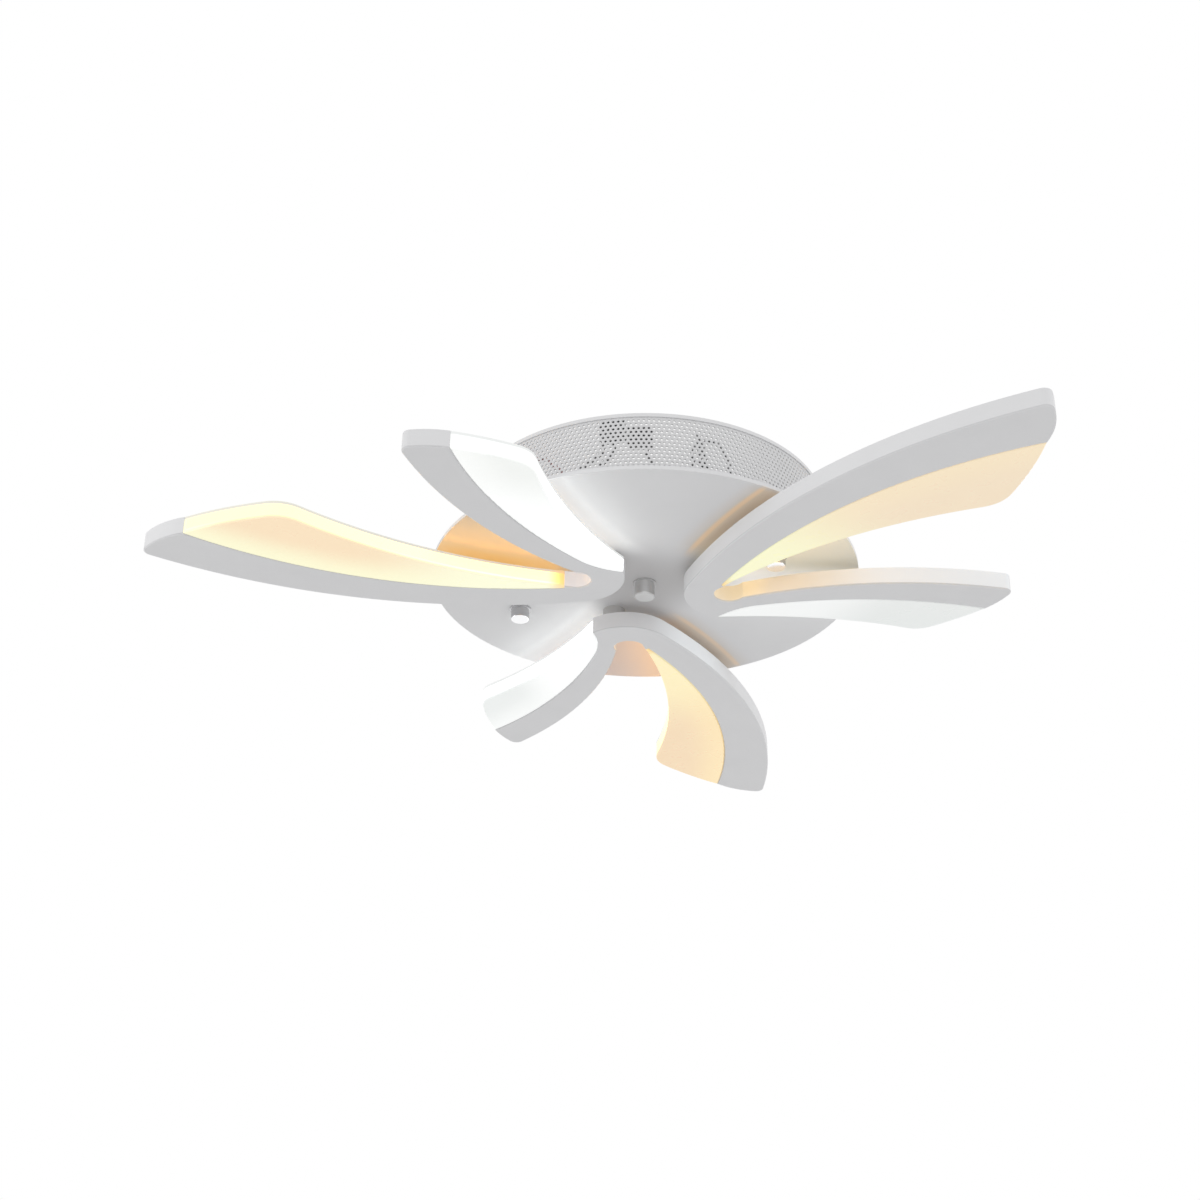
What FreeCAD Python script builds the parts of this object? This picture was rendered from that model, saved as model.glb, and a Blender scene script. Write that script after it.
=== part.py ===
"""Ceiling lamp with a perforated canopy and three V-shaped light heads, in millimetres.

The ceiling is the plane z = 0 and the lamp hangs below it. The bracket's bar runs along X.
A head is drawn in its own plan view: "along" runs out from the lamp's axis, beside the root
of the warm arm, and "across" runs square to that, towards the cool arm.
"""
import FreeCAD, Part
import math
import os
import Sketcher

SIZES = {
    # Canopy
    "disc_radius": 125.0,
    "disc_thickness": 1.2,
    "disc_lip_height": 2.4,
    "disc_lip_thickness": 1.2,
    "canopy_drop": 48.0,
    "wall_radius": 106.0,
    "wall_thickness": 0.8,
    "rim_height": 2.2,
    "rim_thickness": 0.6,
    "foot_width": 8.0,
    "foot_height": 3.0,
    "foot_thickness": 1.0,
    "sheet_clearance": 0.1,
    # Ceiling bracket
    "bracket_length": 188.0,
    "bracket_width": 25.0,
    "bracket_thickness": 1.6,
    "bracket_pad_length": 124.0,
    "bracket_joggle_run": 6.0,
    "bracket_joggle_drop": 6.0,
    "slot_spacing": 70.0,
    "slot_length": 14.0,
    "slot_width": 5.2,
    "earth_screw_reach": 50.0,
    # Studs and the nuts on them
    "stud_reach": 81.6,
    "stud_radius": 2.0,
    "stud_engagement": 5.2,
    "pan_head_radius": 4.0,
    "pan_head_height": 2.6,
    "drive_slot_width": 1.0,
    "drive_slot_depth": 1.2,
    "hex_nut_corner": 4.04,
    "hex_nut_height": 3.2,
    "thread_clearance": 0.05,
    "hole_clearance": 0.3,
    "stud_washer_radius": 6.5,
    "stud_washer_thickness": 1.0,
    "cap_nut_radius": 5.5,
    "cap_nut_length": 6.8,
    "cap_nut_end": 1.3,
    "cap_nut_chamfer": 0.8,
    # Finial in the middle of the disc
    "centre_screw_radius": 2.5,
    "centre_screw_corner": 4.62,
    "centre_screw_head": 3.5,
    "finial_engagement": 6.6,
    "finial_washer_radius": 6.8,
    "finial_washer_thickness": 0.8,
    "finial_radius": 6.0,
    "finial_length": 9.2,
    "finial_end": 2.2,
    "finial_chamfer": 1.2,
    # Heads: place and section
    "head_angle": 203.3,
    "head_gap": 6.5,
    "head_depth": 10.5,
    "edge_round": 0.8,
    "tip_corner_radius": 5.0,
    "frame_wall": 1.5,
    "frame_floor": 1.6,
    "diffuser_wall": 2.0,
    "diffuser_floor": 2.0,
    "seam_clearance": 0.15,
    "plate_thickness": 1.0,
    "plate_lip": 1.2,
    "plate_clearance": 0.15,
    # Heads: opaque band, from the apex round the warm arm
    "apex_join_along": 35.5,
    "apex_join_across": 7.6,
    "warm_outer_radius": 328.6,
    "warm_tip_along": 280.8,
    "warm_tip_across": 64.8,
    "warm_tip_radius": 48.5,
    "warm_seam_along": 253.0,
    "warm_seam_across": 85.9,
    "warm_seam_radius": 292.8,
    "warm_root_along": 46.0,
    "warm_root_across": 24.0,
    "warm_root_width": 2.0,
    "gap_along": 39.6,
    "gap_across": 33.6,
    "gap_end_radius": 9.0,
    "cool_gap_radius": 246.6,
    "cool_tip_along": 125.3,
    "cool_tip_across": 171.4,
    "cool_tip_radius": 54.0,
    "cool_seam_along": 99.2,
    "cool_seam_across": 171.4,
    "cool_seam_radius": 246.8,
    "cool_bend_along": 34.6,
    "cool_bend_across": 53.8,
    "cool_bend_radius": 46.5,
    "cool_root_along": 12.0,
    "cool_root_across": 42.7,
    # Heads: free edges of the two petals
    "warm_front_radius": 203.0,
    "warm_shoulder_along": 205.4,
    "warm_shoulder_across": 102.7,
    "warm_shoulder_radius": 19.9,
    "warm_free_radius": 300.0,
    "cool_front_radius": 181.7,
    "cool_shoulder_along": 65.3,
    "cool_shoulder_across": 158.4,
    "cool_shoulder_radius": 16.7,
    "cool_free_radius": 274.5,
    # Heads: what holds them
    "stem_along": 20.5,
    "stem_across": 33.0,
    "stem_radius": 5.0,
    "stem_bore_radius": 3.5,
    "stem_above_disc": 6.0,
    "stem_below_plate": 5.0,
    "stem_nut_corner": 7.5,
    "stem_nut_height": 3.0,
    "collar_radius": 6.6,
    "arm_spacer_along": 84.0,
    "arm_spacer_radius": 4.4,
    "arm_screw_radius": 2.0,
    "arm_screw_below_plate": 5.0,
    "plate_screw_radius": 1.5,
    "plate_screw_length": 6.0,
    "plate_screw_head_radius": 2.8,
    "plate_screw_head_height": 1.8,
    "boss_radius": 3.6,
    "warm_screw_outer": 240.0,
    "warm_screw_inner": 160.0,
    "cool_screw_outer": 150.0,
    "cool_screw_inner": 95.0,
    # LED boards
    "board_inset": 1.2,
    "board_thickness": 1.2,
    "chip_length": 3.5,
    "chip_width": 2.8,
    "chip_height": 0.9,
    "warm_chip_row": 12.0,
    "warm_chip_count": 14,
    "warm_chip_first_share": 0.42,
    "warm_chip_last_share": 0.94,
    "cool_chip_row": 11.0,
    "cool_chip_count": 9,
    "cool_chip_first_share": 0.3,
    "cool_chip_last_share": 0.9,
    # LED drivers, terminal block and connectors
    "driver_length": 90.0,
    "driver_width": 32.0,
    "driver_height": 22.0,
    "driver_wall": 2.0,
    "driver_lid_thickness": 2.4,
    "driver_corner_radius": 3.0,
    "driver_lid_round": 1.0,
    "warm_driver_reach": 64.0,
    "cool_driver_reach": 58.0,
    "tape_thickness": 1.0,
    "tape_margin": 4.0,
    "terminal_reach": 58.0,
    "terminal_offset": 12.0,
    "terminal_length": 30.0,
    "terminal_width": 18.0,
    "terminal_height": 15.0,
    "terminal_pitch": 9.0,
    "terminal_funnel_radius": 2.2,
    "terminal_screw_radius": 1.9,
    "terminal_screw_depth": 4.0,
    "connector_length": 14.0,
    "connector_depth": 8.0,
    "connector_height": 10.0,
    "connector_clearance": 0.3,
    # Leads
    "lead_radius": 1.1,
    "lead_wall_gap": 3.5,
    "lead_floor_gap": 0.4,
}

STRAIGHT, LEFT, RIGHT = 0, 1, -1
SMOOTH_STARTS = ("apex_join", "warm_shoulder", "warm_neck", "cool_shoulder", "cool_neck")
ROUNDED_CORNERS = ("warm_tip", "cool_tip")
HEADS = {"left": 0.0, "right": 120.0, "far": 240.0}

# Corners of the head's plan view: each is a sum of sizes along and a sum of sizes across.
CORNERS = {
    "apex_join": ("apex_join_along", "apex_join_across"),
    "warm_tip": ("warm_tip_along", "warm_tip_across"),
    "warm_seam": ("warm_seam_along", "warm_seam_across"),
    "warm_root": ("warm_root_along", "warm_root_across"),
    "warm_lip": ("warm_root_along", "warm_root_across + warm_root_width"),
    "gap_low": ("gap_along", "gap_across - gap_end_radius"),
    "gap_high": ("gap_along", "gap_across + gap_end_radius"),
    "cool_tip": ("cool_tip_along", "cool_tip_across"),
    "cool_seam": ("cool_seam_along", "cool_seam_across"),
    "cool_bend": ("cool_bend_along", "cool_bend_across"),
    "cool_root": ("cool_root_along", "cool_root_across"),
    "warm_shoulder": ("warm_shoulder_along", "warm_shoulder_across"),
    "cool_shoulder": ("cool_shoulder_along", "cool_shoulder_across"),
}

# Outlines, counter-clockwise: the corner where a stretch starts, which way it turns, its radius.
BAND = [
    ("cool_root", LEFT, "apex"),
    ("apex_join", LEFT, "warm_outer_radius"),
    ("warm_tip", LEFT, "warm_tip_radius"),
    ("warm_seam", RIGHT, "warm_seam_radius"),
    ("warm_root", STRAIGHT, None),
    ("warm_lip", STRAIGHT, None),
    ("gap_low", RIGHT, "gap_end_radius"),
    ("gap_high", LEFT, "cool_gap_radius"),
    ("cool_tip", LEFT, "cool_tip_radius"),
    ("cool_seam", RIGHT, "cool_seam_radius"),
    ("cool_bend", RIGHT, "cool_bend_radius"),
]
WARM_PETAL = [
    ("warm_root", LEFT, "warm_seam_radius"),
    ("warm_seam", LEFT, "warm_front_radius"),
    ("warm_shoulder", LEFT, "warm_shoulder_radius"),
    ("warm_neck", RIGHT, "warm_free_radius"),
    ("warm_lip", STRAIGHT, None),
]
COOL_PETAL = [
    ("cool_root", LEFT, "cool_bend_radius"),
    ("cool_bend", LEFT, "cool_seam_radius"),
    ("cool_seam", LEFT, "cool_front_radius"),
    ("cool_shoulder", LEFT, "cool_shoulder_radius"),
    ("cool_neck", RIGHT, "cool_free_radius"),
]
WHOLE_HEAD = BAND[:3] + WARM_PETAL[1:4] + BAND[5:9] + COOL_PETAL[2:]

doc = FreeCAD.newDocument("CeilingLamp")
sheet = doc.addObject("Spreadsheet::Sheet", "Sizes")
nodes = {}


def fill_sheet():
    """Write each driving size into its own cell, with its name beside it."""
    for row, (name, value) in enumerate(SIZES.items(), start=1):
        sheet.set(f"A{row}", name.replace("_", " "))
        sheet.set(f"B{row}", str(value))
        sheet.setAlias(f"B{row}", name)
    doc.recompute()


def size(name):
    """A driving size as the sheet holds it."""
    return float(sheet.get(name))


def total(formula):
    """Value of a sum or difference of sizes, such as 'gap_across - gap_end_radius'."""
    result, sign = 0.0, 1
    for word in formula.split():
        if word in ("+", "-"):
            sign = 1 if word == "+" else -1
        else:
            result += sign * size(word)
    return result


def bind(item, prop, formula):
    """Tie a property to a formula of sizes."""
    words = formula.replace("(", "( ").replace(")", " )").split()
    item.setExpression(prop, " ".join(f"Sizes.{word}" if word in SIZES else word for word in words))


def at(x=0.0, y=0.0, z=0.0, turn=0.0):
    """Placement at a point, turned about Z."""
    return FreeCAD.Placement(FreeCAD.Vector(x, y, z), FreeCAD.Rotation(FreeCAD.Vector(0, 0, 1), turn))


def keep(label, item, placement=None):
    """Make an object a sub-part of the lamp under its own name."""
    item.Label = label
    if placement is not None:
        item.Placement = placement
    nodes[label] = item
    return item


# Solids from which the pieces are made


def cylinder(radius, height, place=None):
    item = doc.addObject("Part::Cylinder", "Round")
    bind(item, "Radius", radius)
    bind(item, "Height", height)
    item.Placement = place or at()
    return item


def block(length, width, height, x=0.0, y=0.0, z=0.0, turn=0.0):
    """Box centred on a point in plan, standing on its height there."""
    item = doc.addObject("Part::Box", "Block")
    bind(item, "Length", length)
    bind(item, "Width", width)
    bind(item, "Height", height)
    doc.recompute([item])
    corner = FreeCAD.Vector(-item.Length.Value / 2, -item.Width.Value / 2, 0)
    item.Placement = at(x, y, z, turn).multiply(FreeCAD.Placement(corner, FreeCAD.Rotation()))
    return item


def hexagon(corner, height, place=None):
    item = doc.addObject("Part::Prism", "Hexagon")
    item.Polygon = 6
    bind(item, "Circumradius", corner)
    bind(item, "Height", height)
    item.Placement = place or at()
    return item


def fuse(*items):
    if len(items) == 1:
        return items[0]
    item = doc.addObject("Part::MultiFuse", "Fused")
    item.Shapes = list(items)
    return item


def cut(base, *tools):
    item = doc.addObject("Part::Cut", "Cut")
    item.Base = base
    item.Tool = fuse(*tools)
    return item


def group(*items):
    item = doc.addObject("Part::Compound", "Group")
    item.Links = list(items)
    return item


def extrude(outline, height, z, both_ways=False):
    item = doc.addObject("Part::Extrusion", "Extruded")
    item.Base = outline
    item.DirMode = "Normal"
    bind(item, "LengthFwd", height)
    item.Solid = True
    item.Symmetric = both_ways
    item.Placement = at(z=z)
    return item


def offset(outline, distance, sharp=False):
    item = doc.addObject("Part::Offset2D", "Offset")
    item.Source = outline
    item.Join = "Intersection" if sharp else "Arc"
    bind(item, "Value", distance)
    return item


def rounded(base, radius, edge_numbers):
    item = doc.addObject("Part::Fillet", "Rounded")
    item.Base = base
    item.Edges = [(number, radius, radius) for number in edge_numbers]
    return item


def turned(label, profile, z, place=None):
    """Turned piece: corners of half its section, as radius and height above its lowest point."""
    body = doc.addObject("PartDesign::Body", label)
    sketch = body.newObject("Sketcher::SketchObject", label + "_section")
    planes = {feature.Role: feature for feature in body.Origin.OriginFeatures}
    sketch.AttachmentSupport = (planes["XZ_Plane"], "")
    sketch.MapMode = "FlatFace"
    draw_polygon(sketch, profile)
    revolution = body.newObject("PartDesign::Revolution", label + "_turned")
    revolution.Profile = sketch
    revolution.ReferenceAxis = (sketch, ["V_Axis"])
    revolution.Angle = 360
    body.Placement = place or at(z=z)
    return body


# Sketches


def draw_polygon(sketch, corners):
    """Closed polygon through corners given as pairs of formulas, each tied to the sheet."""
    points = [FreeCAD.Vector(total(x) if x else 0, total(y) if y else 0, 0) for x, y in corners]
    count = len(points)
    for i in range(count):
        sketch.addGeometry(Part.LineSegment(points[i], points[(i + 1) % count]))
    for i, (x, y) in enumerate(corners):
        sketch.addConstraint(Sketcher.Constraint("Coincident", i, 2, (i + 1) % count, 1))
        fix_coordinate(sketch, "DistanceX", i, 1, x)
        fix_coordinate(sketch, "DistanceY", i, 1, y)


def fix_coordinate(sketch, kind, edge, end, formula):
    """Hold one coordinate of a point at a formula of sizes, or on the axis where there is none."""
    axis = {"DistanceX": -2, "DistanceY": -1}[kind]
    if formula is None:
        sketch.addConstraint(Sketcher.Constraint("PointOnObject", edge, end, axis))
        return
    number = sketch.addConstraint(Sketcher.Constraint(kind, -1, 1, edge, end, total(formula)))
    bind(sketch, f"Constraints[{number}]", formula)


def corner_point(name):
    if name in ("warm_neck", "cool_neck"):
        return neck_point(name.split("_")[0])
    along, across = CORNERS[name]
    return FreeCAD.Vector(total(along), total(across), 0)


def neck_point(petal):
    """Point where the round of a petal's shoulder runs smoothly into its free edge."""
    shoulder = corner_point(f"{petal}_shoulder")
    front, _ = arc_centre(corner_point(f"{petal}_seam"), shoulder, size(f"{petal}_front_radius"), LEFT)
    small, large = size(f"{petal}_shoulder_radius"), size(f"{petal}_free_radius")
    middle = shoulder + (front - shoulder).normalize() * small
    stretch = corner_point({"warm": "warm_lip", "cool": "cool_root"}[petal]) - middle
    length = stretch.Length
    ahead = stretch.normalize()
    advance = ((small + large) ** 2 - large ** 2 + length ** 2) / (2 * length)
    sideways = math.sqrt((small + large) ** 2 - advance ** 2)
    to_free_centre = ahead * advance + FreeCAD.Vector(ahead.y, -ahead.x, 0) * sideways
    return middle + to_free_centre * (small / (small + large))


def arc_centre(start, stop, radius, turn):
    """Centre of the arc from start to stop that turns left (1) or right (-1)."""
    chord = stop - start
    normal = FreeCAD.Vector(-chord.y, chord.x, 0).normalize() * turn
    rise = math.sqrt(max(radius ** 2 - chord.Length ** 2 / 4, 0.0))
    return (start + stop) / 2 + normal * rise, normal


def stretch_radius(name):
    """Radius of a stretch: a size, or at the apex the one that runs smoothly into the warm arm."""
    if name != "apex":
        return size(name)
    join, root = corner_point("apex_join"), corner_point("cool_root")
    centre, _ = arc_centre(join, corner_point("warm_tip"), size("warm_outer_radius"), LEFT)
    inward = (centre - join).normalize()
    chord = join - root
    return -chord.dot(chord) / (2 * chord.dot(inward))


def stretch_arcs(stretches):
    """Start, end, turn, radius and centre of each stretch, between the outline's sharp corners."""
    found = []
    for i, (start, turn, radius) in enumerate(stretches):
        first, last = corner_point(start), corner_point(stretches[(i + 1) % len(stretches)][0])
        bend, centre = None, None
        if turn != STRAIGHT:
            bend = stretch_radius(radius)
            centre, _ = arc_centre(first, last, bend, turn)
        found.append([first, last, turn, bend, centre])
    return found


def round_centre(before, after, corner, radius):
    """Centre of the round that touches two left-turning arcs from inside, near their corner."""
    reach_before, reach_after = before[3] - radius, after[3] - radius
    between = after[4] - before[4]
    length = between.Length
    ahead = between.normalize()
    advance = (reach_before ** 2 - reach_after ** 2 + length ** 2) / (2 * length)
    sideways = math.sqrt(reach_before ** 2 - advance ** 2)
    aside = FreeCAD.Vector(-ahead.y, ahead.x, 0) * sideways
    choices = [before[4] + ahead * advance + aside, before[4] + ahead * advance - aside]
    return min(choices, key=lambda point: (point - corner).Length)


def add_stretch(sketch, first, last, turn, radius):
    """Draw one stretch; returns its number and which ends of it are its start and its end."""
    if turn == STRAIGHT:
        return sketch.addGeometry(Part.LineSegment(first, last)), 1, 2
    centre, normal = arc_centre(first, last, radius, turn)
    number = sketch.addGeometry(Part.Arc(first, centre - normal * radius, last))
    return (number, 2, 1) if turn == RIGHT else (number, 1, 2)


def draw_outline(name, stretches):
    """Closed outline of straight and round stretches, with each corner and radius tied to the sheet."""
    sketch = doc.addObject("Sketcher::SketchObject", name)
    arcs = stretch_arcs(stretches)
    rounds = {}
    for i, (start, _, _) in enumerate(stretches):
        if start in ROUNDED_CORNERS:
            radius = size("tip_corner_radius")
            centre = round_centre(arcs[i - 1], arcs[i], arcs[i][0], radius)
            arcs[i - 1][1] = centre + (centre - arcs[i - 1][4]).normalize() * radius
            arcs[i][0] = centre + (centre - arcs[i][4]).normalize() * radius
            rounds[i] = add_stretch(sketch, arcs[i - 1][1], arcs[i][0], LEFT, radius)
    drawn = [add_stretch(sketch, *arc[:4]) for arc in arcs]
    for i, (start, turn, radius) in enumerate(stretches):
        before, here = drawn[i - 1], drawn[i]
        if i in rounds:
            tie_round(sketch, before, rounds[i], here, start)
        else:
            joint = "Tangent" if start in SMOOTH_STARTS else "Coincident"
            sketch.addConstraint(Sketcher.Constraint(joint, before[0], before[2], here[0], here[1]))
        if start in CORNERS and i not in rounds:
            fix_coordinate(sketch, "DistanceX", here[0], here[1], CORNERS[start][0])
            fix_coordinate(sketch, "DistanceY", here[0], here[1], CORNERS[start][1])
        if radius == "gap_end_radius":
            fix_coordinate(sketch, "DistanceX", here[0], 3, "gap_along")
        elif radius in SIZES:
            tie_radius(sketch, here[0], radius)
    return sketch


def tie_radius(sketch, number, name):
    tied = sketch.addConstraint(Sketcher.Constraint("Radius", number, size(name)))
    bind(sketch, f"Constraints[{tied}]", name)


def tie_round(sketch, before, between, after, corner):
    """Hold the round at a corner: tangent to its neighbours, which both aim at the corner's own point."""
    for first, second in ((before, between), (between, after)):
        sketch.addConstraint(Sketcher.Constraint("Tangent", first[0], first[2], second[0], second[1]))
    tie_radius(sketch, between[0], "tip_corner_radius")
    point = sketch.addGeometry(Part.Point(corner_point(corner)), True)
    fix_coordinate(sketch, "DistanceX", point, 1, CORNERS[corner][0])
    fix_coordinate(sketch, "DistanceY", point, 1, CORNERS[corner][1])
    for arc in (before, after):
        sketch.addConstraint(Sketcher.Constraint("PointOnObject", point, 1, arc[0]))


# Levels below the ceiling


def levels():
    """Heights that several pieces share."""
    disc_low = -size("canopy_drop")
    head_top = disc_low - size("head_gap")
    plate_low = head_top - size("plate_thickness")
    return {
        "disc_low": disc_low,
        "disc_top": disc_low + size("disc_thickness"),
        "head_top": head_top,
        "plate_low": plate_low,
        "head_low": head_top - size("head_depth"),
        "lug_top": -size("bracket_joggle_drop"),
        "lug_low": -size("bracket_joggle_drop") - size("bracket_thickness"),
        "wall_top": -size("rim_thickness"),
    }


# Places in the plan view of a head


def stretch_circle(stretches, start):
    """Centre and radius of the round stretch that begins at a corner."""
    i = [stretch[0] for stretch in stretches].index(start)
    _, _, _, radius, centre = stretch_arcs(stretches)[i]
    return centre, radius


def warm_middle(along):
    """Point halfway across the band of the warm arm."""
    outer, outer_radius = stretch_circle(BAND, "apex_join")
    inner, inner_radius = stretch_circle(BAND, "warm_seam")
    low = outer.y - math.sqrt(outer_radius ** 2 - (along - outer.x) ** 2)
    high = inner.y - math.sqrt(inner_radius ** 2 - (along - inner.x) ** 2)
    return along, (low + high) / 2


def cool_middle(across):
    """Point halfway across the band of the cool arm."""
    outer, outer_radius = stretch_circle(BAND, "gap_high")
    inner, inner_radius = stretch_circle(BAND, "cool_seam")
    far = outer.x + math.sqrt(outer_radius ** 2 - (across - outer.y) ** 2)
    near = inner.x + math.sqrt(inner_radius ** 2 - (across - inner.y) ** 2)
    return (far + near) / 2, across


def plate_screw_places():
    return [
        warm_middle(size("warm_screw_outer")),
        warm_middle(size("warm_screw_inner")),
        cool_middle(size("cool_screw_outer")),
        cool_middle(size("cool_screw_inner")),
    ]


def stem_place():
    return size("stem_along"), size("stem_across")


def arm_place():
    return warm_middle(size("arm_spacer_along"))


def angle_of(name):
    """Direction of a head's plan view in the lamp."""
    return size("head_angle") + HEADS[name]


def in_lamp(place, name):
    """A place of a head's plan view, seen in the whole lamp."""
    turn = math.radians(angle_of(name))
    along, across = place
    x = along * math.cos(turn) - across * math.sin(turn)
    y = along * math.sin(turn) + across * math.cos(turn)
    return x, y


def head_places(place):
    return [in_lamp(place, name) for name in HEADS]


def stud_places():
    return [(-size("stud_reach"), 0.0), (size("stud_reach"), 0.0)]


# Canopy


def canopy_plate(level):
    """Disc with its lip turned up, and holes for studs, stems, arm screws and the centre screw."""
    disc = turned(
        "canopy_disc",
        [
            (None, None),
            ("disc_radius", None),
            ("disc_radius", "disc_lip_height"),
            ("disc_radius - disc_lip_thickness", "disc_lip_height"),
            ("disc_radius - disc_lip_thickness", "disc_thickness"),
            (None, "disc_thickness"),
        ],
        level["disc_low"],
    )
    holes = [cylinder("centre_screw_radius + hole_clearance", "disc_thickness", at(z=level["disc_low"]))]
    drilled = [
        ("stud_radius + hole_clearance", stud_places()),
        ("stem_radius + hole_clearance", head_places(stem_place())),
        ("arm_screw_radius + hole_clearance", head_places(arm_place())),
    ]
    for radius, places in drilled:
        holes += [cylinder(radius, "disc_thickness", at(x, y, level["disc_low"])) for x, y in places]
    keep("canopy_plate", cut(disc, *holes))


def ring(label, inner, outer, height, z):
    """Plain ring between two radii."""
    body = turned(
        label,
        [(inner, None), (outer, None), (outer, height), (inner, height)],
        z,
    )
    return keep(label, body)


def perforated_wall(level):
    ring(
        "perforated_wall",
        "wall_radius - wall_thickness",
        "wall_radius",
        "canopy_drop - disc_thickness - rim_thickness",
        level["disc_top"],
    )


def wall_rim():
    """Rim folded over the wall's top edge, against the ceiling."""
    outside = "wall_radius + sheet_clearance + rim_thickness"
    inside = "wall_radius - wall_thickness - sheet_clearance - rim_thickness"
    profile = [
        ("wall_radius + sheet_clearance", None),
        (outside, None),
        (outside, "rim_height"),
        (inside, "rim_height"),
        (inside, None),
        ("wall_radius - wall_thickness - sheet_clearance", None),
        ("wall_radius - wall_thickness - sheet_clearance", "rim_height - rim_thickness"),
        ("wall_radius + sheet_clearance", "rim_height - rim_thickness"),
    ]
    keep("wall_rim", turned("wall_rim", profile, -size("rim_height")))


def wall_foot(level):
    """Angle ring that joins the wall to the disc."""
    outside = "wall_radius - wall_thickness - sheet_clearance"
    profile = [
        (outside + " - foot_width", None),
        (outside, None),
        (outside, "foot_height"),
        (outside + " - foot_thickness", "foot_height"),
        (outside + " - foot_thickness", "foot_thickness"),
        (outside + " - foot_width", "foot_thickness"),
    ]
    keep("wall_foot", turned("wall_foot", profile, level["disc_top"]))


# Ceiling bracket and what hangs from it


def ceiling_bracket(level):
    """Joggled bar: its pad lies on the ceiling and its two lugs carry the studs."""
    pad = size("bracket_pad_length") / 2
    end = size("bracket_length") / 2
    lug = pad + size("bracket_joggle_run")
    thick = size("bracket_thickness")
    upper = [(-end, level["lug_top"]), (-lug, level["lug_top"]), (-pad, 0), (pad, 0),
             (lug, level["lug_top"]), (end, level["lug_top"])]
    lower = [(x, z - thick) for x, z in reversed(upper)]
    corners = [FreeCAD.Vector(x, 0, z) for x, z in upper + lower]
    profile = doc.addObject("Part::Feature", "bracket_profile")
    profile.Shape = Part.makePolygon(corners + corners[:1])
    bar = extrude(profile, "bracket_width", 0, both_ways=True)
    thread = "stud_radius + thread_clearance"
    tools = []
    for side in (-1, 1):
        middle = side * size("slot_spacing") / 2
        straight = size("slot_length") - size("slot_width")
        tools.append(block("slot_length - slot_width", "slot_width", "bracket_thickness",
                           middle, 0, -thick))
        for end_side in (-1, 1):
            x = middle + end_side * straight / 2
            tools.append(cylinder("slot_width / 2", "bracket_thickness", at(x, 0, -thick)))
    for x, y in stud_places():
        tools.append(cylinder(thread, "bracket_thickness", at(x, y, level["lug_low"])))
    tools.append(cylinder(thread, "bracket_thickness", at(size("earth_screw_reach"), 0, -thick)))
    keep("ceiling_bracket", cut(bar, *tools))


def pan_screw(radius, length, x, y, head_low, head_up=True):
    """Pan-head screw with a drive slot: its head stands on head_low, or hangs from it."""
    head_z = head_low if head_up else head_low - size("pan_head_height")
    shank = cylinder(radius, length, at(x, y, head_low))
    doc.recompute([shank])
    if head_up:
        shank.Placement = at(x, y, head_low - shank.Height.Value)
    head = cylinder("pan_head_radius", "pan_head_height", at(x, y, head_z))
    slot_z = head_z + size("pan_head_height") - size("drive_slot_depth") if head_up else head_z
    slot = block("2 * pan_head_radius", "drive_slot_width", "drive_slot_depth", x, y, slot_z)
    return cut(fuse(shank, head), slot)


def hex_nut(corner, bore, height, x, y, z):
    return cut(hexagon(corner, height, at(x, y, z)), cylinder(bore, height, at(x, y, z)))


def studs(level):
    """Studs that hang from the lugs, and the nuts that lock them there."""
    length = "canopy_drop + stud_washer_thickness + stud_engagement - bracket_joggle_drop"
    nut_z = level["lug_low"] - size("hex_nut_height")
    bore = "stud_radius + thread_clearance"
    keep("bracket_studs", group(*[
        pan_screw("stud_radius", length, x, y, level["lug_top"]) for x, y in stud_places()
    ]))
    keep("stud_lock_nuts", group(*[
        hex_nut("hex_nut_corner", bore, "hex_nut_height", x, y, nut_z) for x, y in stud_places()
    ]))
    earth_x, earth_z = size("earth_screw_reach"), -size("bracket_thickness")
    screw = pan_screw("stud_radius", "bracket_thickness", earth_x, 0, earth_z, head_up=False)
    keep("earth_screw", screw)


def washer(label, outer, bore, thickness, x, y, z):
    profile = [(bore, None), (outer, None), (outer, thickness), (bore, thickness)]
    keep(label, turned(label, profile, z, at(x, y, z)))


def blind_nut(label, radius, bore, length, end, chamfer, x, y, top):
    """Round nut with a closed lower end: its open end is at top."""
    profile = [
        (None, None),
        (f"{radius} - {chamfer}", None),
        (radius, chamfer),
        (radius, length),
        (bore, length),
        (bore, end),
        (None, end),
    ]
    z = top - size(length)
    keep(label, turned(label, profile, z, at(x, y, z)))


def cap_nuts(level):
    washer_z = level["disc_low"] - size("stud_washer_thickness")
    bore = "stud_radius + thread_clearance"
    for side, (x, y) in zip(("left", "right"), stud_places()):
        washer(f"stud_washer_{side}", "stud_washer_radius", "stud_radius + hole_clearance",
               "stud_washer_thickness", x, y, washer_z)
        blind_nut(f"cap_nut_{side}", "cap_nut_radius", bore, "cap_nut_length", "cap_nut_end",
                  "cap_nut_chamfer", x, y, washer_z)


def finial(level):
    """Knob in the middle of the disc, on a screw whose hexagon head lies inside the canopy."""
    washer_z = level["disc_low"] - size("finial_washer_thickness")
    head = hexagon("centre_screw_corner", "centre_screw_head", at(z=level["disc_top"]))
    low = washer_z - size("finial_engagement")
    shank = cylinder("centre_screw_radius",
                     "disc_thickness + finial_washer_thickness + finial_engagement", at(z=low))
    keep("centre_screw", fuse(head, shank))
    washer("finial_washer", "finial_washer_radius", "centre_screw_radius + hole_clearance",
           "finial_washer_thickness", 0, 0, washer_z)
    blind_nut("finial", "finial_radius", "centre_screw_radius + thread_clearance", "finial_length",
              "finial_end", "finial_chamfer", 0, 0, washer_z)


# Heads


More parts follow.
